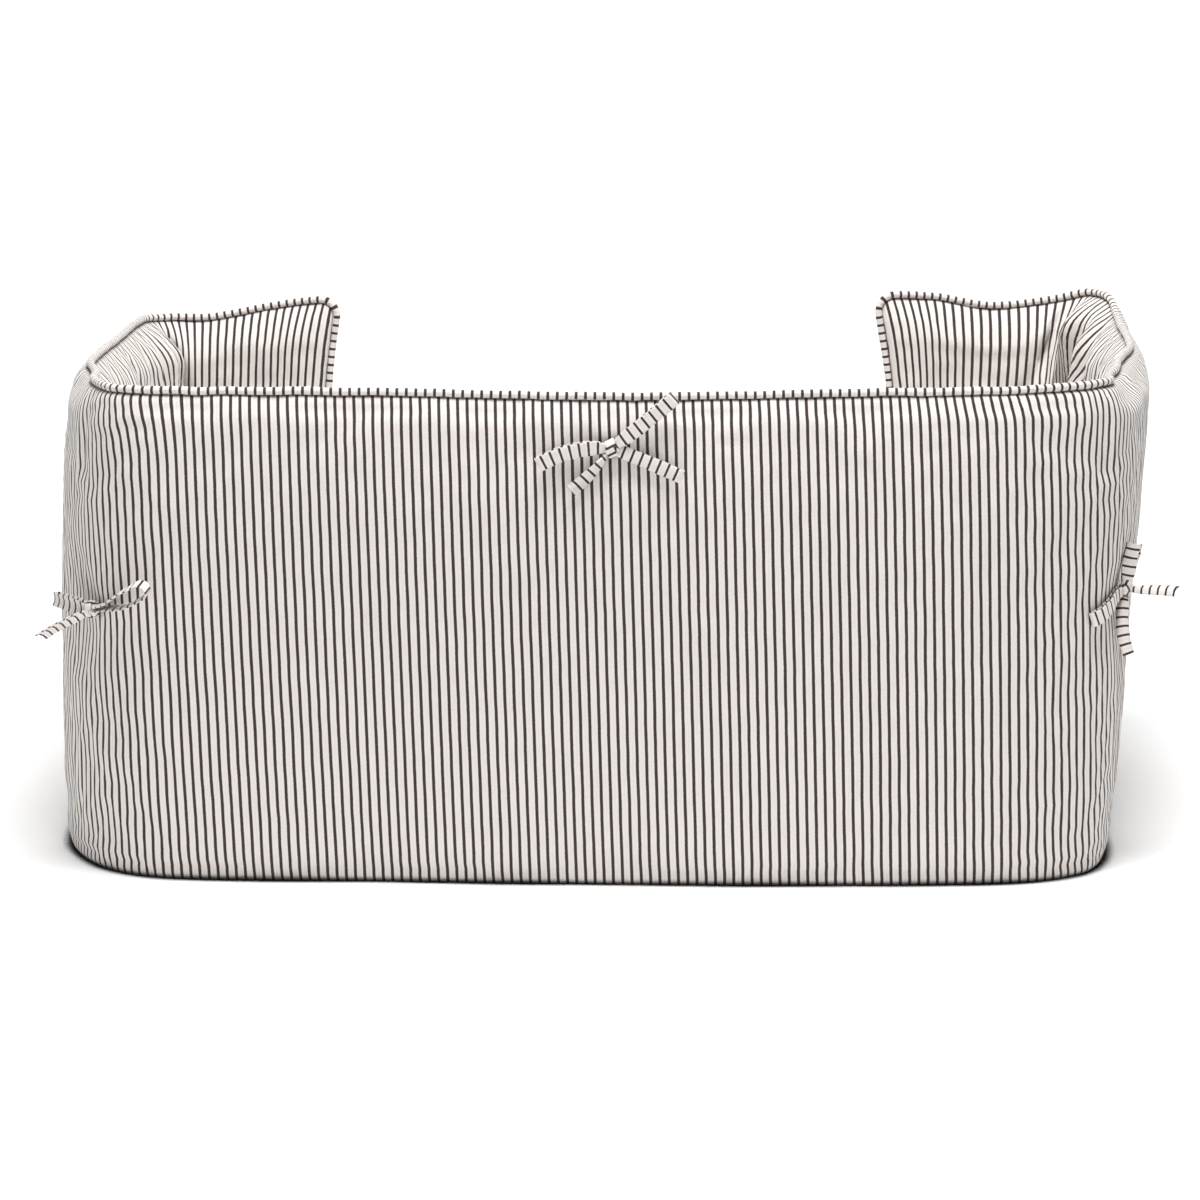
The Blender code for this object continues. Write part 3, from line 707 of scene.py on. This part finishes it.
def settle(outer, inner):
    """How far the two faces of a coarse grid move when the cloth gives way to the filling."""
    wide, high = outer.shape[:2]
    trial_mesh, _ = pad_mesh("trial", outer, inner)
    trial = bpy.data.objects.new("trial", trial_mesh)
    bpy.context.scene.collection.objects.link(trial)
    shared = seam_and_ends(wide, high)
    weights = held_weights()
    group = trial.vertex_groups.new(name="held")
    for index, weight in enumerate(np.concatenate([weights.ravel(), weights[~shared]])):
        group.add([index], float(weight), "REPLACE")
    cloth = trial.modifiers.new("cloth", "CLOTH")
    cloth.settings.vertex_group_mass = group.name
    for setting, value in CLOTH.items():
        setattr(cloth.settings, setting, value)
    cloth.collision_settings.use_collision = False
    cloth.point_cache.frame_start = 1
    cloth.point_cache.frame_end = SETTLE_STEPS
    start = np.concatenate([outer.reshape(-1, 3), inner[~shared]])
    for step in range(1, SETTLE_STEPS + 1):
        bpy.context.scene.frame_set(step)
    seen = trial.evaluated_get(bpy.context.evaluated_depsgraph_get())
    moved = np.empty(3 * len(start), np.float32)
    seen.data.vertices.foreach_get("co", moved)
    moved = moved.reshape(-1, 3) - start
    bpy.context.scene.frame_set(1)
    bpy.data.objects.remove(trial)
    size = np.linalg.norm(moved, axis=1)
    print("settling moved the cloth", round(float(size.mean()), 5), "m on average, at most",
          round(float(size.max()), 5))
    moved *= (SETTLE_CAP / (SETTLE_CAP + size))[:, None]
    outside = moved[:wide * high].reshape(wide, high, 3)
    inside = outside.copy()
    inside[~shared] = moved[wide * high:]
    return outside, inside


def spread(values):
    """Values of the coarse grid read on the fine grid."""
    return doubled(doubled(values).swapaxes(0, 1)).swapaxes(0, 1)


# %% [markdown]
# Now the pad itself is made. Its places on the flat cloth are read before the cloth settles, so the small
# waves carry their stripes along.

# %% The pad
faces_now = {side: face_points(side, ALONG, SHARE) for side in (-1, 1)}
print("thickest", round(float(np.linalg.norm(faces_now[1] - faces_now[-1], axis=-1).max()), 4), "m")

places = {side: cloth_place(side, faces_now[side]) for side in (-1, 1)}
outside, inside = settle(faces_now[-1][::2, ::2], faces_now[1][::2, ::2])
faces_now[-1] = faces_now[-1] + spread(outside)
faces_now[1] = faces_now[1] + spread(inside)
lengths = foot_height(ALONG) + (seam_height(ALONG) - foot_height(ALONG)) * SHARE
mesh, corners = pad_mesh("pad", faces_now[-1], faces_now[1])
lay_out(mesh, corners, places, lengths)
pad = bpy.data.objects.new("pad_cloth", mesh)
bpy.context.scene.collection.objects.link(pad)
print("the pad has", len(mesh.polygons), "faces")

# %% [markdown]
# ## Helpers for finishes
#
# A finish is a tree of small nodes. Written out one by one they hide what they work out, so a short class
# adds a node, fills its inputs with numbers or with links, and hands back what it gives. A finish then reads
# from top to bottom like a sum.

# %% Small helpers for node trees


class Tree:
    """Adds nodes to a material and links them, in the order in which the values are worked out."""

    def __init__(self, name):
        self.material = bpy.data.materials.new(name)
        self.material.use_nodes = True
        self.nodes = self.material.node_tree.nodes
        self.links = self.material.node_tree.links
        self.shader = self.nodes["Principled BSDF"]

    def put(self, value, socket):
        """Link another node's result into a socket, or set a plain number or colour there."""
        if isinstance(value, bpy.types.NodeSocket):
            self.links.new(value, socket)
        else:
            socket.default_value = value

    def math(self, operation, *values):
        """One step of a sum."""
        node = self.nodes.new("ShaderNodeMath")
        node.operation = operation
        for value, socket in zip(values, node.inputs):
            self.put(value, socket)
        return node.outputs[0]

    def ramp(self, value, low, high, first=0.0, last=1.0):
        """A soft step from first to last as the value goes from low to high."""
        node = self.nodes.new("ShaderNodeMapRange")
        node.interpolation_type = "SMOOTHSTEP"
        for entry, socket in zip((value, low, high, first, last), node.inputs):
            self.put(entry, socket)
        return node.outputs[0]

    def noise(self, vector, detail=2.0, rough=0.5):
        """Soft noise from 0 to 1, one lump for each unit of the vector."""
        node = self.nodes.new("ShaderNodeTexNoise")
        node.inputs["Scale"].default_value = 1.0
        node.inputs["Detail"].default_value = detail
        node.inputs["Roughness"].default_value = rough
        self.put(vector, node.inputs["Vector"])
        return node.outputs["Fac"]

    def vector(self, x, y, z=0.0):
        """A place in space from three numbers."""
        node = self.nodes.new("ShaderNodeCombineXYZ")
        for value, socket in zip((x, y, z), node.inputs):
            self.put(value, socket)
        return node.outputs[0]

    def mix(self, share, first, second):
        """The first colour where the share is 0, the second where it is 1."""
        node = self.nodes.new("ShaderNodeMix")
        node.data_type = "RGBA"
        self.put(share, node.inputs["Factor"])
        self.put(first, node.inputs[6])
        self.put(second, node.inputs[7])
        return node.outputs[2]


# %% [markdown]
# ## Ticking
#
# Ticking is a close twill of undyed cotton with narrow dark stripes in its warp. Seen near, no stripe is
# quite even: its edge steps from thread to thread, slubs make a thread thicker for a finger's width, and
# the pale ground has a faint second stripe. A painted image would blur when seen near and repeat when seen
# far, so the finish is worked out from the flat cloth's own map. Where the cloth lies in a tuck or against
# the piping, the nodes measure how closed in it is and paint shade into its colour there.

# %% The ticking
STRIPE_PITCH = 0.00656
STRIPE_SHARE = 0.335        # of the pitch that is dark
STRIPE_DRIFT = 0.10         # of the pitch over which a stripe wanders
STRIPE_RAGGED = 0.05        # of the pitch over which its edge steps to and fro
SECOND_STRENGTH = 0.10      # of the faint stripe between two dark ones
THREAD = 0.00052            # between two threads
GROUND_PALE, GROUND_DEEP = (0.830, 0.780, 0.746, 1.0), (0.65, 0.61, 0.58, 1.0)
STRIPE_DARK, STRIPE_WORN = (0.042, 0.028, 0.027, 1.0), (0.092, 0.068, 0.064, 1.0)
SECOND_COLOUR = (0.30, 0.30, 0.30, 1.0)
# colour of the painted shade in tucks, creases and against the piping
TUCK_SHADE = (0.03, 0.028, 0.027, 1.0)
TUCK_REACH = 0.007          # how near other cloth has to be for a tuck to darken
RELIEF = 0.00005            # height in metres that one unit of the weave's relief stands for


def ticking(name, dark_share=STRIPE_SHARE, creases=1.0):
    """Striped cotton on a map in metres: stripes across the first direction, threads along both, and painted
    shade in tucks.
    """
    tree = Tree(name)
    flat = tree.nodes.new("ShaderNodeUVMap")
    flat.uv_map = "cloth"
    parts = tree.nodes.new("ShaderNodeSeparateXYZ")
    tree.links.new(flat.outputs[0], parts.inputs[0])
    along, up = parts.outputs[0], parts.outputs[1]

    # the stripe: where it drifts to, how ragged its edge is, and the faint second stripe between two
    drift = tree.noise(tree.vector(tree.math("MULTIPLY", along, 30.0), tree.math("MULTIPLY", up, 45.0)))
    drift = tree.math("MULTIPLY", tree.math("SUBTRACT", drift, 0.5), STRIPE_DRIFT)
    turns = tree.math("ADD", tree.math("DIVIDE", along, STRIPE_PITCH), drift)
    away = tree.math("ABSOLUTE", tree.math("SUBTRACT", tree.math("FRACT", turns), 0.5))
    ragged = tree.noise(tree.vector(tree.math("MULTIPLY", along, 1 / THREAD),
                                    tree.math("MULTIPLY", up, 0.35 / THREAD)))
    ragged = tree.math("MULTIPLY", tree.math("SUBTRACT", ragged, 0.5), STRIPE_RAGGED)
    edge = tree.math("ADD", away, ragged)
    dark = tree.ramp(edge, dark_share / 2 - 0.018, dark_share / 2 + 0.022, 1.0, 0.0)
    second = tree.math("MULTIPLY", tree.ramp(away, 0.40, 0.48), SECOND_STRENGTH)

    # the tone: slubs in the threads of both directions, and slow clouds
    slub = tree.noise(tree.vector(tree.math("MULTIPLY", along, 0.8 / THREAD),
                                  tree.math("MULTIPLY", up, 55.0)), 3.0)
    cross = tree.noise(tree.vector(tree.math("MULTIPLY", along, 50.0),
                                   tree.math("MULTIPLY", up, 0.8 / THREAD), 7.0), 3.0)
    cloudy = tree.noise(tree.vector(tree.math("MULTIPLY", along, 7.0), tree.math("MULTIPLY", up, 7.0), 3.0))
    tone = tree.math("ADD", tree.math("MULTIPLY", slub, 0.20), tree.math("MULTIPLY", cross, 0.12))
    tone = tree.math("ADD", tone, tree.math("MULTIPLY", cloudy, 0.08))
    ground = tree.mix(tone, GROUND_PALE, GROUND_DEEP)
    ground = tree.mix(second, ground, SECOND_COLOUR)
    stripe = tree.mix(tone, STRIPE_DARK, STRIPE_WORN)
    # painted shade: the colour darkens where other cloth closes in, in tucks, creases and under the piping
    openness = tree.nodes.new("ShaderNodeAmbientOcclusion")
    openness.samples = 4
    openness.inputs["Distance"].default_value = TUCK_REACH
    tuck_shade_share = tree.ramp(openness.outputs["AO"], 0.30, 0.75, 0.55, 0.0)
    colour = tree.mix(tuck_shade_share, tree.mix(dark, ground, stripe), TUCK_SHADE)
    tree.put(colour, tree.shader.inputs["Base Color"])

    # the relief: weft, twill line, slubs and soft unevenness
    weft = tree.math("SINE", tree.math("MULTIPLY", up, 2 * math.pi / THREAD))
    twill = tree.math("SINE", tree.math("MULTIPLY", tree.math("ADD", along, up), 2 * math.pi / THREAD))
    weave = tree.math("ADD", tree.math("MULTIPLY", weft, 0.4), tree.math("MULTIPLY", twill, 0.6))
    thick = tree.math("ADD", tree.math("MULTIPLY", slub, 1.2), tree.math("MULTIPLY", cross, 0.8))
    relief = tree.math("ADD", tree.math("MULTIPLY", weave, 0.5), thick)
    soft = tree.noise(tree.vector(tree.math("MULTIPLY", along, 70.0), tree.math("MULTIPLY", up, 38.0), 5.0))
    relief = tree.math("ADD", relief, tree.math("MULTIPLY", soft, 9.0 * creases))
    bump = tree.nodes.new("ShaderNodeBump")
    bump.inputs["Strength"].default_value = 1.0
    bump.inputs["Distance"].default_value = RELIEF
    tree.put(relief, bump.inputs["Height"])
    tree.links.new(bump.outputs[0], tree.shader.inputs["Normal"])

    tree.put(tree.ramp(thick, 0.4, 1.6, 0.80, 0.95), tree.shader.inputs["Roughness"])
    tree.shader.inputs["Specular IOR Level"].default_value = 0.25
    tree.shader.inputs["Sheen Weight"].default_value = 0.18
    tree.shader.inputs["Sheen Roughness"].default_value = 0.45
    return tree.material


mesh.materials.append(ticking("ticking"))
print("the ticking has", len(mesh.materials[0].node_tree.nodes), "nodes")

# %% [markdown]
# ## Piping
#
# Piping is a cord wrapped in a strip of the same cloth. The strip was cut across the stripes, so they ring
# the cord as ticks, one for each stripe. Its stitches draw it in a little, so the cord isn't perfectly
# round or straight. A tube swept along the seam does it, with a little unevenness in its radius.

# %% The seam's line
PIPING_SIDES = 12
PIPING_STEP = 0.0026
END_POINTS = 62             # of the seam up each door end


def seam_points():
    """Points of the seam from the floor at the left end, over the top and down to the right end."""
    shares = pad_rows(END_POINTS + 2)[1:-1]
    lines, inners = [], []
    for along, share in ((np.zeros(END_POINTS), shares), (fine_columns, np.ones(len(fine_columns))),
                         (np.full(END_POINTS, BAND_LENGTH), shares[::-1])):
        lines.append(face_points(-1, along, share))
        direction = heading(along, share)
        inners.append(np.stack([-direction[:, 1], direction[:, 0], 0 * along], -1))
    return np.concatenate(lines), np.concatenate(inners)


def resampled(line, other, step):
    """The same line with evenly spaced points, and another value carried along."""
    lengths = np.concatenate([[0.0], np.cumsum(np.linalg.norm(np.diff(line, axis=0), axis=1))])
    spots = np.linspace(0.0, lengths[-1], int(lengths[-1] / step) + 1)
    read = [np.stack([np.interp(spots, lengths, values[:, axis]) for axis in range(3)], -1)
            for values in (line, other)]
    return read[0], read[1], spots


def unit(vectors):
    """The same directions, each 1 long."""
    return vectors / np.linalg.norm(vectors, axis=-1, keepdims=True)


seam, seam_inward = seam_points()
line, inward, marks = resampled(seam, seam_inward, PIPING_STEP)
print("the seam is", round(float(marks[-1]), 3), "m long")

# %% [markdown]
# Piping and ties are both tubes: rings of points in a row, closed at the two ends. One helper makes the
# faces and the map of the flat cloth for all of them. A curve with a bevel would give the same tube, but not
# a map in metres.

# %% A tube from rings


def tube_mesh(name, rings, marks, around):
    """A closed tube through rings of points, with a map of metres along it and metres round it."""
    count, sides = rings.shape[:2]
    faces = [(i * sides + s, i * sides + (s + 1) % sides, (i + 1) * sides + (s + 1) % sides,
              (i + 1) * sides + s) for i in range(count - 1) for s in range(sides)]
    flat = [(marks[i + up], around * (s + over) / sides) for i in range(count - 1) for s in range(sides)
            for up, over in ((0, 0), (0, 1), (1, 1), (1, 0))]
    for ring, order in ((0, range(sides - 1, -1, -1)), (count - 1, range(sides))):
        faces.append(tuple(ring * sides + s for s in order))
        flat += [(marks[ring], around * s / sides) for s in order]
    mesh = bpy.data.meshes.new(name)
    mesh.from_pydata(rings.reshape(-1, 3).tolist(), [], faces)
    mesh.uv_layers.new(name="cloth").uv.foreach_set("vector", np.array(flat, np.float32).ravel())
    mesh.shade_smooth()
    return mesh


# %% [markdown]
# A machine-sewn cord is nearly even. Three small waverings keep it from looking turned on a lathe: of its
# thickness, of its height over the seam and of its place to either side.

# %% The piping
PIPING_SINK = 0.0006        # how deep the cord sits in the seam
THICKNESS_WAVER = 0.035     # share of the radius
HEIGHT_WAVER = 0.00015
SIDE_WAVER = 0.00025
chance = np.random.default_rng(7)


def wavering(count, length, amount):
    """Smooth unevenness along a line: random bumps, each a few points long."""
    rough = chance.normal(0.0, 1.0, count + 4 * length)
    window = np.hanning(2 * length + 1)
    return amount * np.convolve(rough, window / np.sqrt((window ** 2).sum()), "same")[:count]


direction = unit(np.gradient(line, axis=0))
across = unit(inward - direction * (inward * direction).sum(-1, keepdims=True))
outward = unit(np.cross(direction, across))
radius = PIPING_DIAMETER / 2 * (1 + wavering(len(line), 3, THICKNESS_WAVER))
lift = PIPING_DIAMETER / 2 + SEAM_GAP - PIPING_SINK + wavering(len(line), 6, HEIGHT_WAVER)
middle = line + outward * lift[:, None] + across * wavering(len(line), 7, SIDE_WAVER)[:, None]
angles = 2 * np.pi * np.arange(PIPING_SIDES) / PIPING_SIDES
rings = (middle[:, None] + radius[:, None, None]
         * (outward[:, None] * np.cos(angles)[:, None] + across[:, None] * np.sin(angles)[:, None]))
piping_mesh = tube_mesh("piping", rings, marks, math.pi * PIPING_DIAMETER)
piping_mesh.materials.append(ticking("piping ticking", dark_share=0.31, creases=0.6))
piping = bpy.data.objects.new("piping_cord", piping_mesh)
bpy.context.scene.collection.objects.link(piping)
print("piping", round(float(marks[-1]), 3), "m long")

# %% [markdown]
# ## Ties
#
# Each tie is a narrow strip of ticking, folded over twice and stitched down its length. Tied in a bow it
# gives loops, which come back to the knot, and tails, which don't. One row for each strand says which way
# it leaves the knot, how it turns and climbs, how its width is turned and how far a loop's two runs stand
# apart. Angles are in degrees. A simulated bow would need a real knot to start from, so the strands are laid
# one by one from their rows.

# %% Where the ties sit and how their strands run
# tie, station, along, height, room behind the knot, turn, climb of what the knot is wrapped round
TIE_SEATS = (
    ("tie_back", "back middle", -0.0130, 0.3125, 0.0004, -8, 24),
    ("tie_left", "near left corner", 0.0240, 0.1940, 0.0010, -50, 6),
    ("tie_right", "right bend", -0.0270, 0.2025, 0.0012, -116, -12),
)

# tie, kind, length, turn, end turn, climb, end climb, roll, end roll, gap, crease, share of width at knot
STRANDS = (
    ("tie_back", "loop", 0.053, 190, 181, 6, -28, 84, 90, 0.0046, 0.0004, 0.60),
    ("tie_back", "loop", 0.056, -10, 4, 36, 42, 84, 92, 0.0046, 0.0003, 0.60),
    ("tie_back", "tail", 0.053, -8, -2, -20, -24, 84, 96, 0.0, 0.0006, 0.75),
    ("tie_back", "tail", 0.041, 192, 182, -50, -42, 16, 84, 0.0, 0.0030, 0.42),
    ("tie_left", "loop", 0.061, -56, -26, 12, 30, 12, 20, 0.0105, 0.0006, 0.60),
    ("tie_left", "loop", 0.044, 140, 126, 4, 0, 80, 96, 0.0050, 0.0022, 0.60),
    ("tie_left", "tail", 0.048, 172, 146, -22, -32, 40, 24, 0.0, 0.0036, 0.50),
    ("tie_right", "loop", 0.064, -140, -178, -8, -18, 84, 90, 0.0046, 0.0003, 0.66),
    ("tie_right", "loop", 0.034, 70, 58, 64, 60, 30, 10, 0.0036, 0.0022, 0.60),
    ("tie_right", "tail", 0.040, -30, -40, 12, 0, 20, 40, 0.0, 0.0034, 0.50),
    ("tie_right", "tail", 0.048, -140, -30, -66, -66, 0, 30, 0.0, 0.0028, 0.60),
)
print(len(TIE_SEATS), "ties with", len(STRANDS), "loops and tails")

# %% [markdown]
# A knot rests on the face of the band, dimple and all, so its place is read from that face. Its strands then
# run on from it and never cut into the cloth: wherever one would, it is moved out to lie on it.

# %% Where a knot rests
TIE_WIDTH = 0.0100
TIE_THICKNESS = 0.0016
TIE_CUT_WIDTH = 0.0115      # flat width with its rounded edges
TIE_CLEARANCE = 0.0006      # least room between a strand and the band's face
KNOT_SIZE = (0.0070, 0.0050, 0.0062)    # half sizes along the band, out of it and up


def surface_of(mesh):
    """A tree of a mesh's faces, to find the nearest point of cloth."""
    return BVHTree.FromPolygons([vertex.co.copy() for vertex in mesh.vertices],
                                [tuple(face.vertices) for face in mesh.polygons])


def seat_of(seat):
    """Knot centre, and the direction straight out of the band there."""
    along = PLACE_OF[seat[1]] + seat[2]
    low, high = foot_height(np.array([along])), seam_height(np.array([along]))
    share = float(((seat[3] - low) / (high - low))[0])
    step = 0.002
    point, right, left, above, below = face_points(
        -1, np.array([along, along + step, along - step, along, along]),
        np.array([share, share, share, share + step, share - step]))
    outward = unit(np.cross(right - left, above - below))
    return point + outward * (KNOT_SIZE[1] + seat[4]), outward


pad_surface = surface_of(mesh)
print("knots at", [seat_of(seat)[0].round(3).tolist() for seat in TIE_SEATS])

# %% [markdown]
# A strand is a line of points with the direction of its width at each. It is stepped on from the knot, a
# millimetre or so at a time, while its heading and its width turn as its row says. A loop is two such runs
# side by side with a half circle at the far end.

# %% How a strand runs
STRAND_STEP = 0.0012
LOOP_ROOT_GAP = 0.0030      # between a loop's two runs where they leave the knot
LOOP_OPENS, LOOP_OPENED = 0.30, 0.75    # shares of a loop's length between which it opens
TIP_STEPS = 16              # round the end of a loop


def strand_frame(row, part):
    """Heading of a strand and direction of its width, part of the way along it."""
    turn, climb, roll = (math.radians(start + (stop - start) * part)
                         for start, stop in ((row[3], row[4]), (row[5], row[6]), (row[7], row[8])))
    ahead = np.array([math.cos(turn) * math.cos(climb), math.sin(turn) * math.cos(climb), math.sin(climb)])
    level = np.array([-math.sin(turn), math.cos(turn), 0.0])
    rising = np.cross(ahead, level)
    return ahead, level * math.cos(roll) + rising * math.sin(roll)


def lifted(middle, width, aside, half_depth, surface):
    """A strand's middle, moved out where the strand would cut into the band's face."""
    nearest, normal = (np.array(found) for found in surface.find_nearest(Vector(middle))[:2])
    reach = abs(width @ normal) * TIE_WIDTH / 2 + abs(aside @ normal) * half_depth + TIE_CLEARANCE
    return middle + normal * max(0.0, reach - (middle - nearest) @ normal)


def strand_line(row, start, surface):
    """Points of a tail, or of a loop out and back, each with its width's direction and its place."""
    length, gap = row[2], row[9]
    run = length - gap / 2
    steps = round(run / STRAND_STEP)
    middle, out, back = start, [], []
    for step in range(steps + 1):
        part = step / steps
        ahead, width = strand_frame(row, part)
        aside = unit(np.cross(width, ahead))
        opened = float(eased((part - LOOP_OPENS) / (LOOP_OPENED - LOOP_OPENS)))
        half = (LOOP_ROOT_GAP + (gap - LOOP_ROOT_GAP) * opened) / 2 if gap else 0.0
        if step:
            middle = middle + ahead * (run / steps)
        middle = lifted(middle, width, aside, half + TIE_THICKNESS / 2, surface)
        out.append((middle + aside * half, width, part * run))
        back.append((middle - aside * half, width, part * run))
    if gap:
        for step in range(1, TIP_STEPS):
            angle = math.pi * step / TIP_STEPS
            place = middle + (aside * math.cos(angle) + ahead * math.sin(angle)) * gap / 2
            out.append((place, width, run))
        out += back[::-1]
    return out


# %% [markdown]
# A tie's strip is thin with round edges. The knot pulls it narrow and a little thicker. Further out it may
# fold lengthwise into a shallow trough, which is what makes a loose end look like cloth and not like card.

# %% Cross sections of a strip
STRAND_SIDES = 20
PULLED_LENGTH = 0.016       # of a strand that is pulled narrow by the knot
WIDTH_WAVER = 0.03          # share of the half width


def strip_rings(line, crease, root_share):
    """Cross sections of a folded strip: thin, round edged, and creased down its middle."""
    points = np.array([spot[0] for spot in line])
    points[1:-1] = (points[:-2] + 2 * points[1:-1] + points[2:]) / 4
    widths = np.array([spot[1] for spot in line])
    places = np.array([spot[2] for spot in line])
    ahead = unit(np.gradient(points, axis=0))
    across = unit(widths - ahead * (widths * ahead).sum(-1, keepdims=True))
    through = np.cross(ahead, across)
    loose = eased(places / PULLED_LENGTH)
    uneven = 1 + wavering(len(line), 5, WIDTH_WAVER)
    half_width = TIE_WIDTH / 2 * (root_share + (1 - root_share) * loose) * uneven
    half_thickness = TIE_THICKNESS / 2 * (1 + 0.5 * (1 - root_share) * (1 - loose))
    depth = crease * (0.35 + 0.65 * loose)
    angles = 2 * np.pi * (np.arange(STRAND_SIDES) + 0.5) / STRAND_SIDES
    side = np.sign(np.cos(angles)) * np.abs(np.cos(angles)) ** 0.6
    thick = np.sign(np.sin(angles)) * np.abs(np.sin(angles)) ** 0.7
    bent = 0.5 - np.sqrt(side ** 2 + 0.015)
    return (points[:, None] + across[:, None] * (half_width[:, None] * side)[..., None]
            + through[:, None] * (half_thickness[:, None] * thick + depth[:, None] * bent)[..., None])


def ring_lengths(rings):
    """How far along a tube each of its rings lies."""
    middles = rings.mean(axis=1)
    return np.concatenate([[0.0], np.cumsum(np.linalg.norm(np.diff(middles, axis=0), axis=1))])


# %% [markdown]
# In a bow's knot one short length goes once round the squeezed cloth of all the others. These two are made
# apart, a core with a few ridges and a wrap round it, because nothing of the way inside can be seen.

# %% The knot
WRAP_OUT, WRAP_UP = 0.0041, 0.0055      # half sizes of the turn that the wrap makes
WRAP_ADVANCE = 0.0012       # how far the wrap moves to each side as it goes round
WRAP_STEPS = 41
CORE_RINGS, CORE_SIDES = 18, 24
CORE_RIDGES, RIDGE_HEIGHT = 5, 0.10


def knot_wrap(centre, outward, turn, climb):
    """The short length of strip that goes once round the others in a knot, as rings of points."""
    turn, climb = math.radians(turn), math.radians(climb)
    axis = np.array([math.cos(turn) * math.cos(climb), math.sin(turn) * math.cos(climb), math.sin(climb)])
    out = unit(outward - axis * (outward @ axis))
    up = np.cross(axis, out)
    angles = np.linspace(0.0, 2 * np.pi, WRAP_STEPS)
    shifts = np.linspace(-WRAP_ADVANCE, WRAP_ADVANCE, WRAP_STEPS)
    line = [(centre + out * WRAP_OUT * math.cos(angle) + up * WRAP_UP * math.sin(angle) + axis * shift,
             axis, PULLED_LENGTH / 4) for angle, shift in zip(angles, shifts)]
    return strip_rings(line, crease=-0.0009, root_share=0.62)


def knot_core(centre, outward):
    """The squeezed cloth inside a knot, as rings from one side to the other."""
    level = unit(np.array([-outward[1], outward[0], 0.0]))
    up = np.cross(outward, level)
    rings = []
    long, deep, tall = np.array(KNOT_SIZE) * (0.95, 0.80, 0.80)     # the core lies inside the wrap
    angles = np.linspace(0.0, 2 * np.pi, CORE_SIDES, endpoint=False)
    for part in np.linspace(0.03, 0.97, CORE_RINGS):
        turn = math.pi * part
        place = centre - level * math.cos(turn) * long
        ridge = 1 + RIDGE_HEIGHT * np.sin(CORE_RIDGES * angles + 4 * part)
        rings.append(place + (outward * (np.cos(angles) * ridge * deep)[:, None]
                              + up * (np.sin(angles) * ridge * tall)[:, None]) * math.sin(turn))
    return np.array(rings)


# %% [markdown]
# Each tie becomes one piece: core, wrap and strands, joined. Its length is added up from its parts, so the
# flat size of the sheet is that of the strip a maker would cut. Every part starts elsewhere in the stripes.

# %% The three ties


def joined(name, parts):
    """One object from several tubes."""
    made = [bpy.data.objects.new(name, part) for part in parts]
    for piece in made:
        bpy.context.scene.collection.objects.link(piece)
    with bpy.context.temp_override(active_object=made[0], selected_editable_objects=made):
        bpy.ops.object.join()
    return made[0]


tie_finish = ticking("tie ticking", dark_share=0.25, creases=0.5)
ties = {}
for seat in TIE_SEATS:
    name = seat[0]
    centre, outward = seat_of(seat)
    groups = [knot_core(centre, outward), knot_wrap(centre, outward, seat[5], seat[6])]
    groups += [strip_rings(strand_line(row, centre, pad_surface), row[10], row[11])
               for row in STRANDS if row[0] == name]
    cloth_length, parts = 0.0, []
    for group in groups:
        spots = ring_lengths(group)
        cloth_length += spots[-1]
        parts.append(tube_mesh(name, group, spots + chance.uniform(0.0, STRIPE_PITCH), 2 * TIE_CUT_WIDTH))
        parts[-1].materials.append(tie_finish)
    ties[name] = joined(name + "_strip", parts)
    ties[name].data.name = name
    print(name, round(cloth_length, 3), "m of strip")

# %% [markdown]
# ## Tying the looks to the solids
#
# Each piece rides on the one body that there is and takes the place of its own solid, which is hidden.

# %% Finish
for piece, node, material_slot in ((pad, "pad", "ticking"), (piping, "piping", "piping_ticking"),
                                   *((tie, node, "tie_ticking") for node, tie in ties.items())):
    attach(piece, "root")
    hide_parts(node)
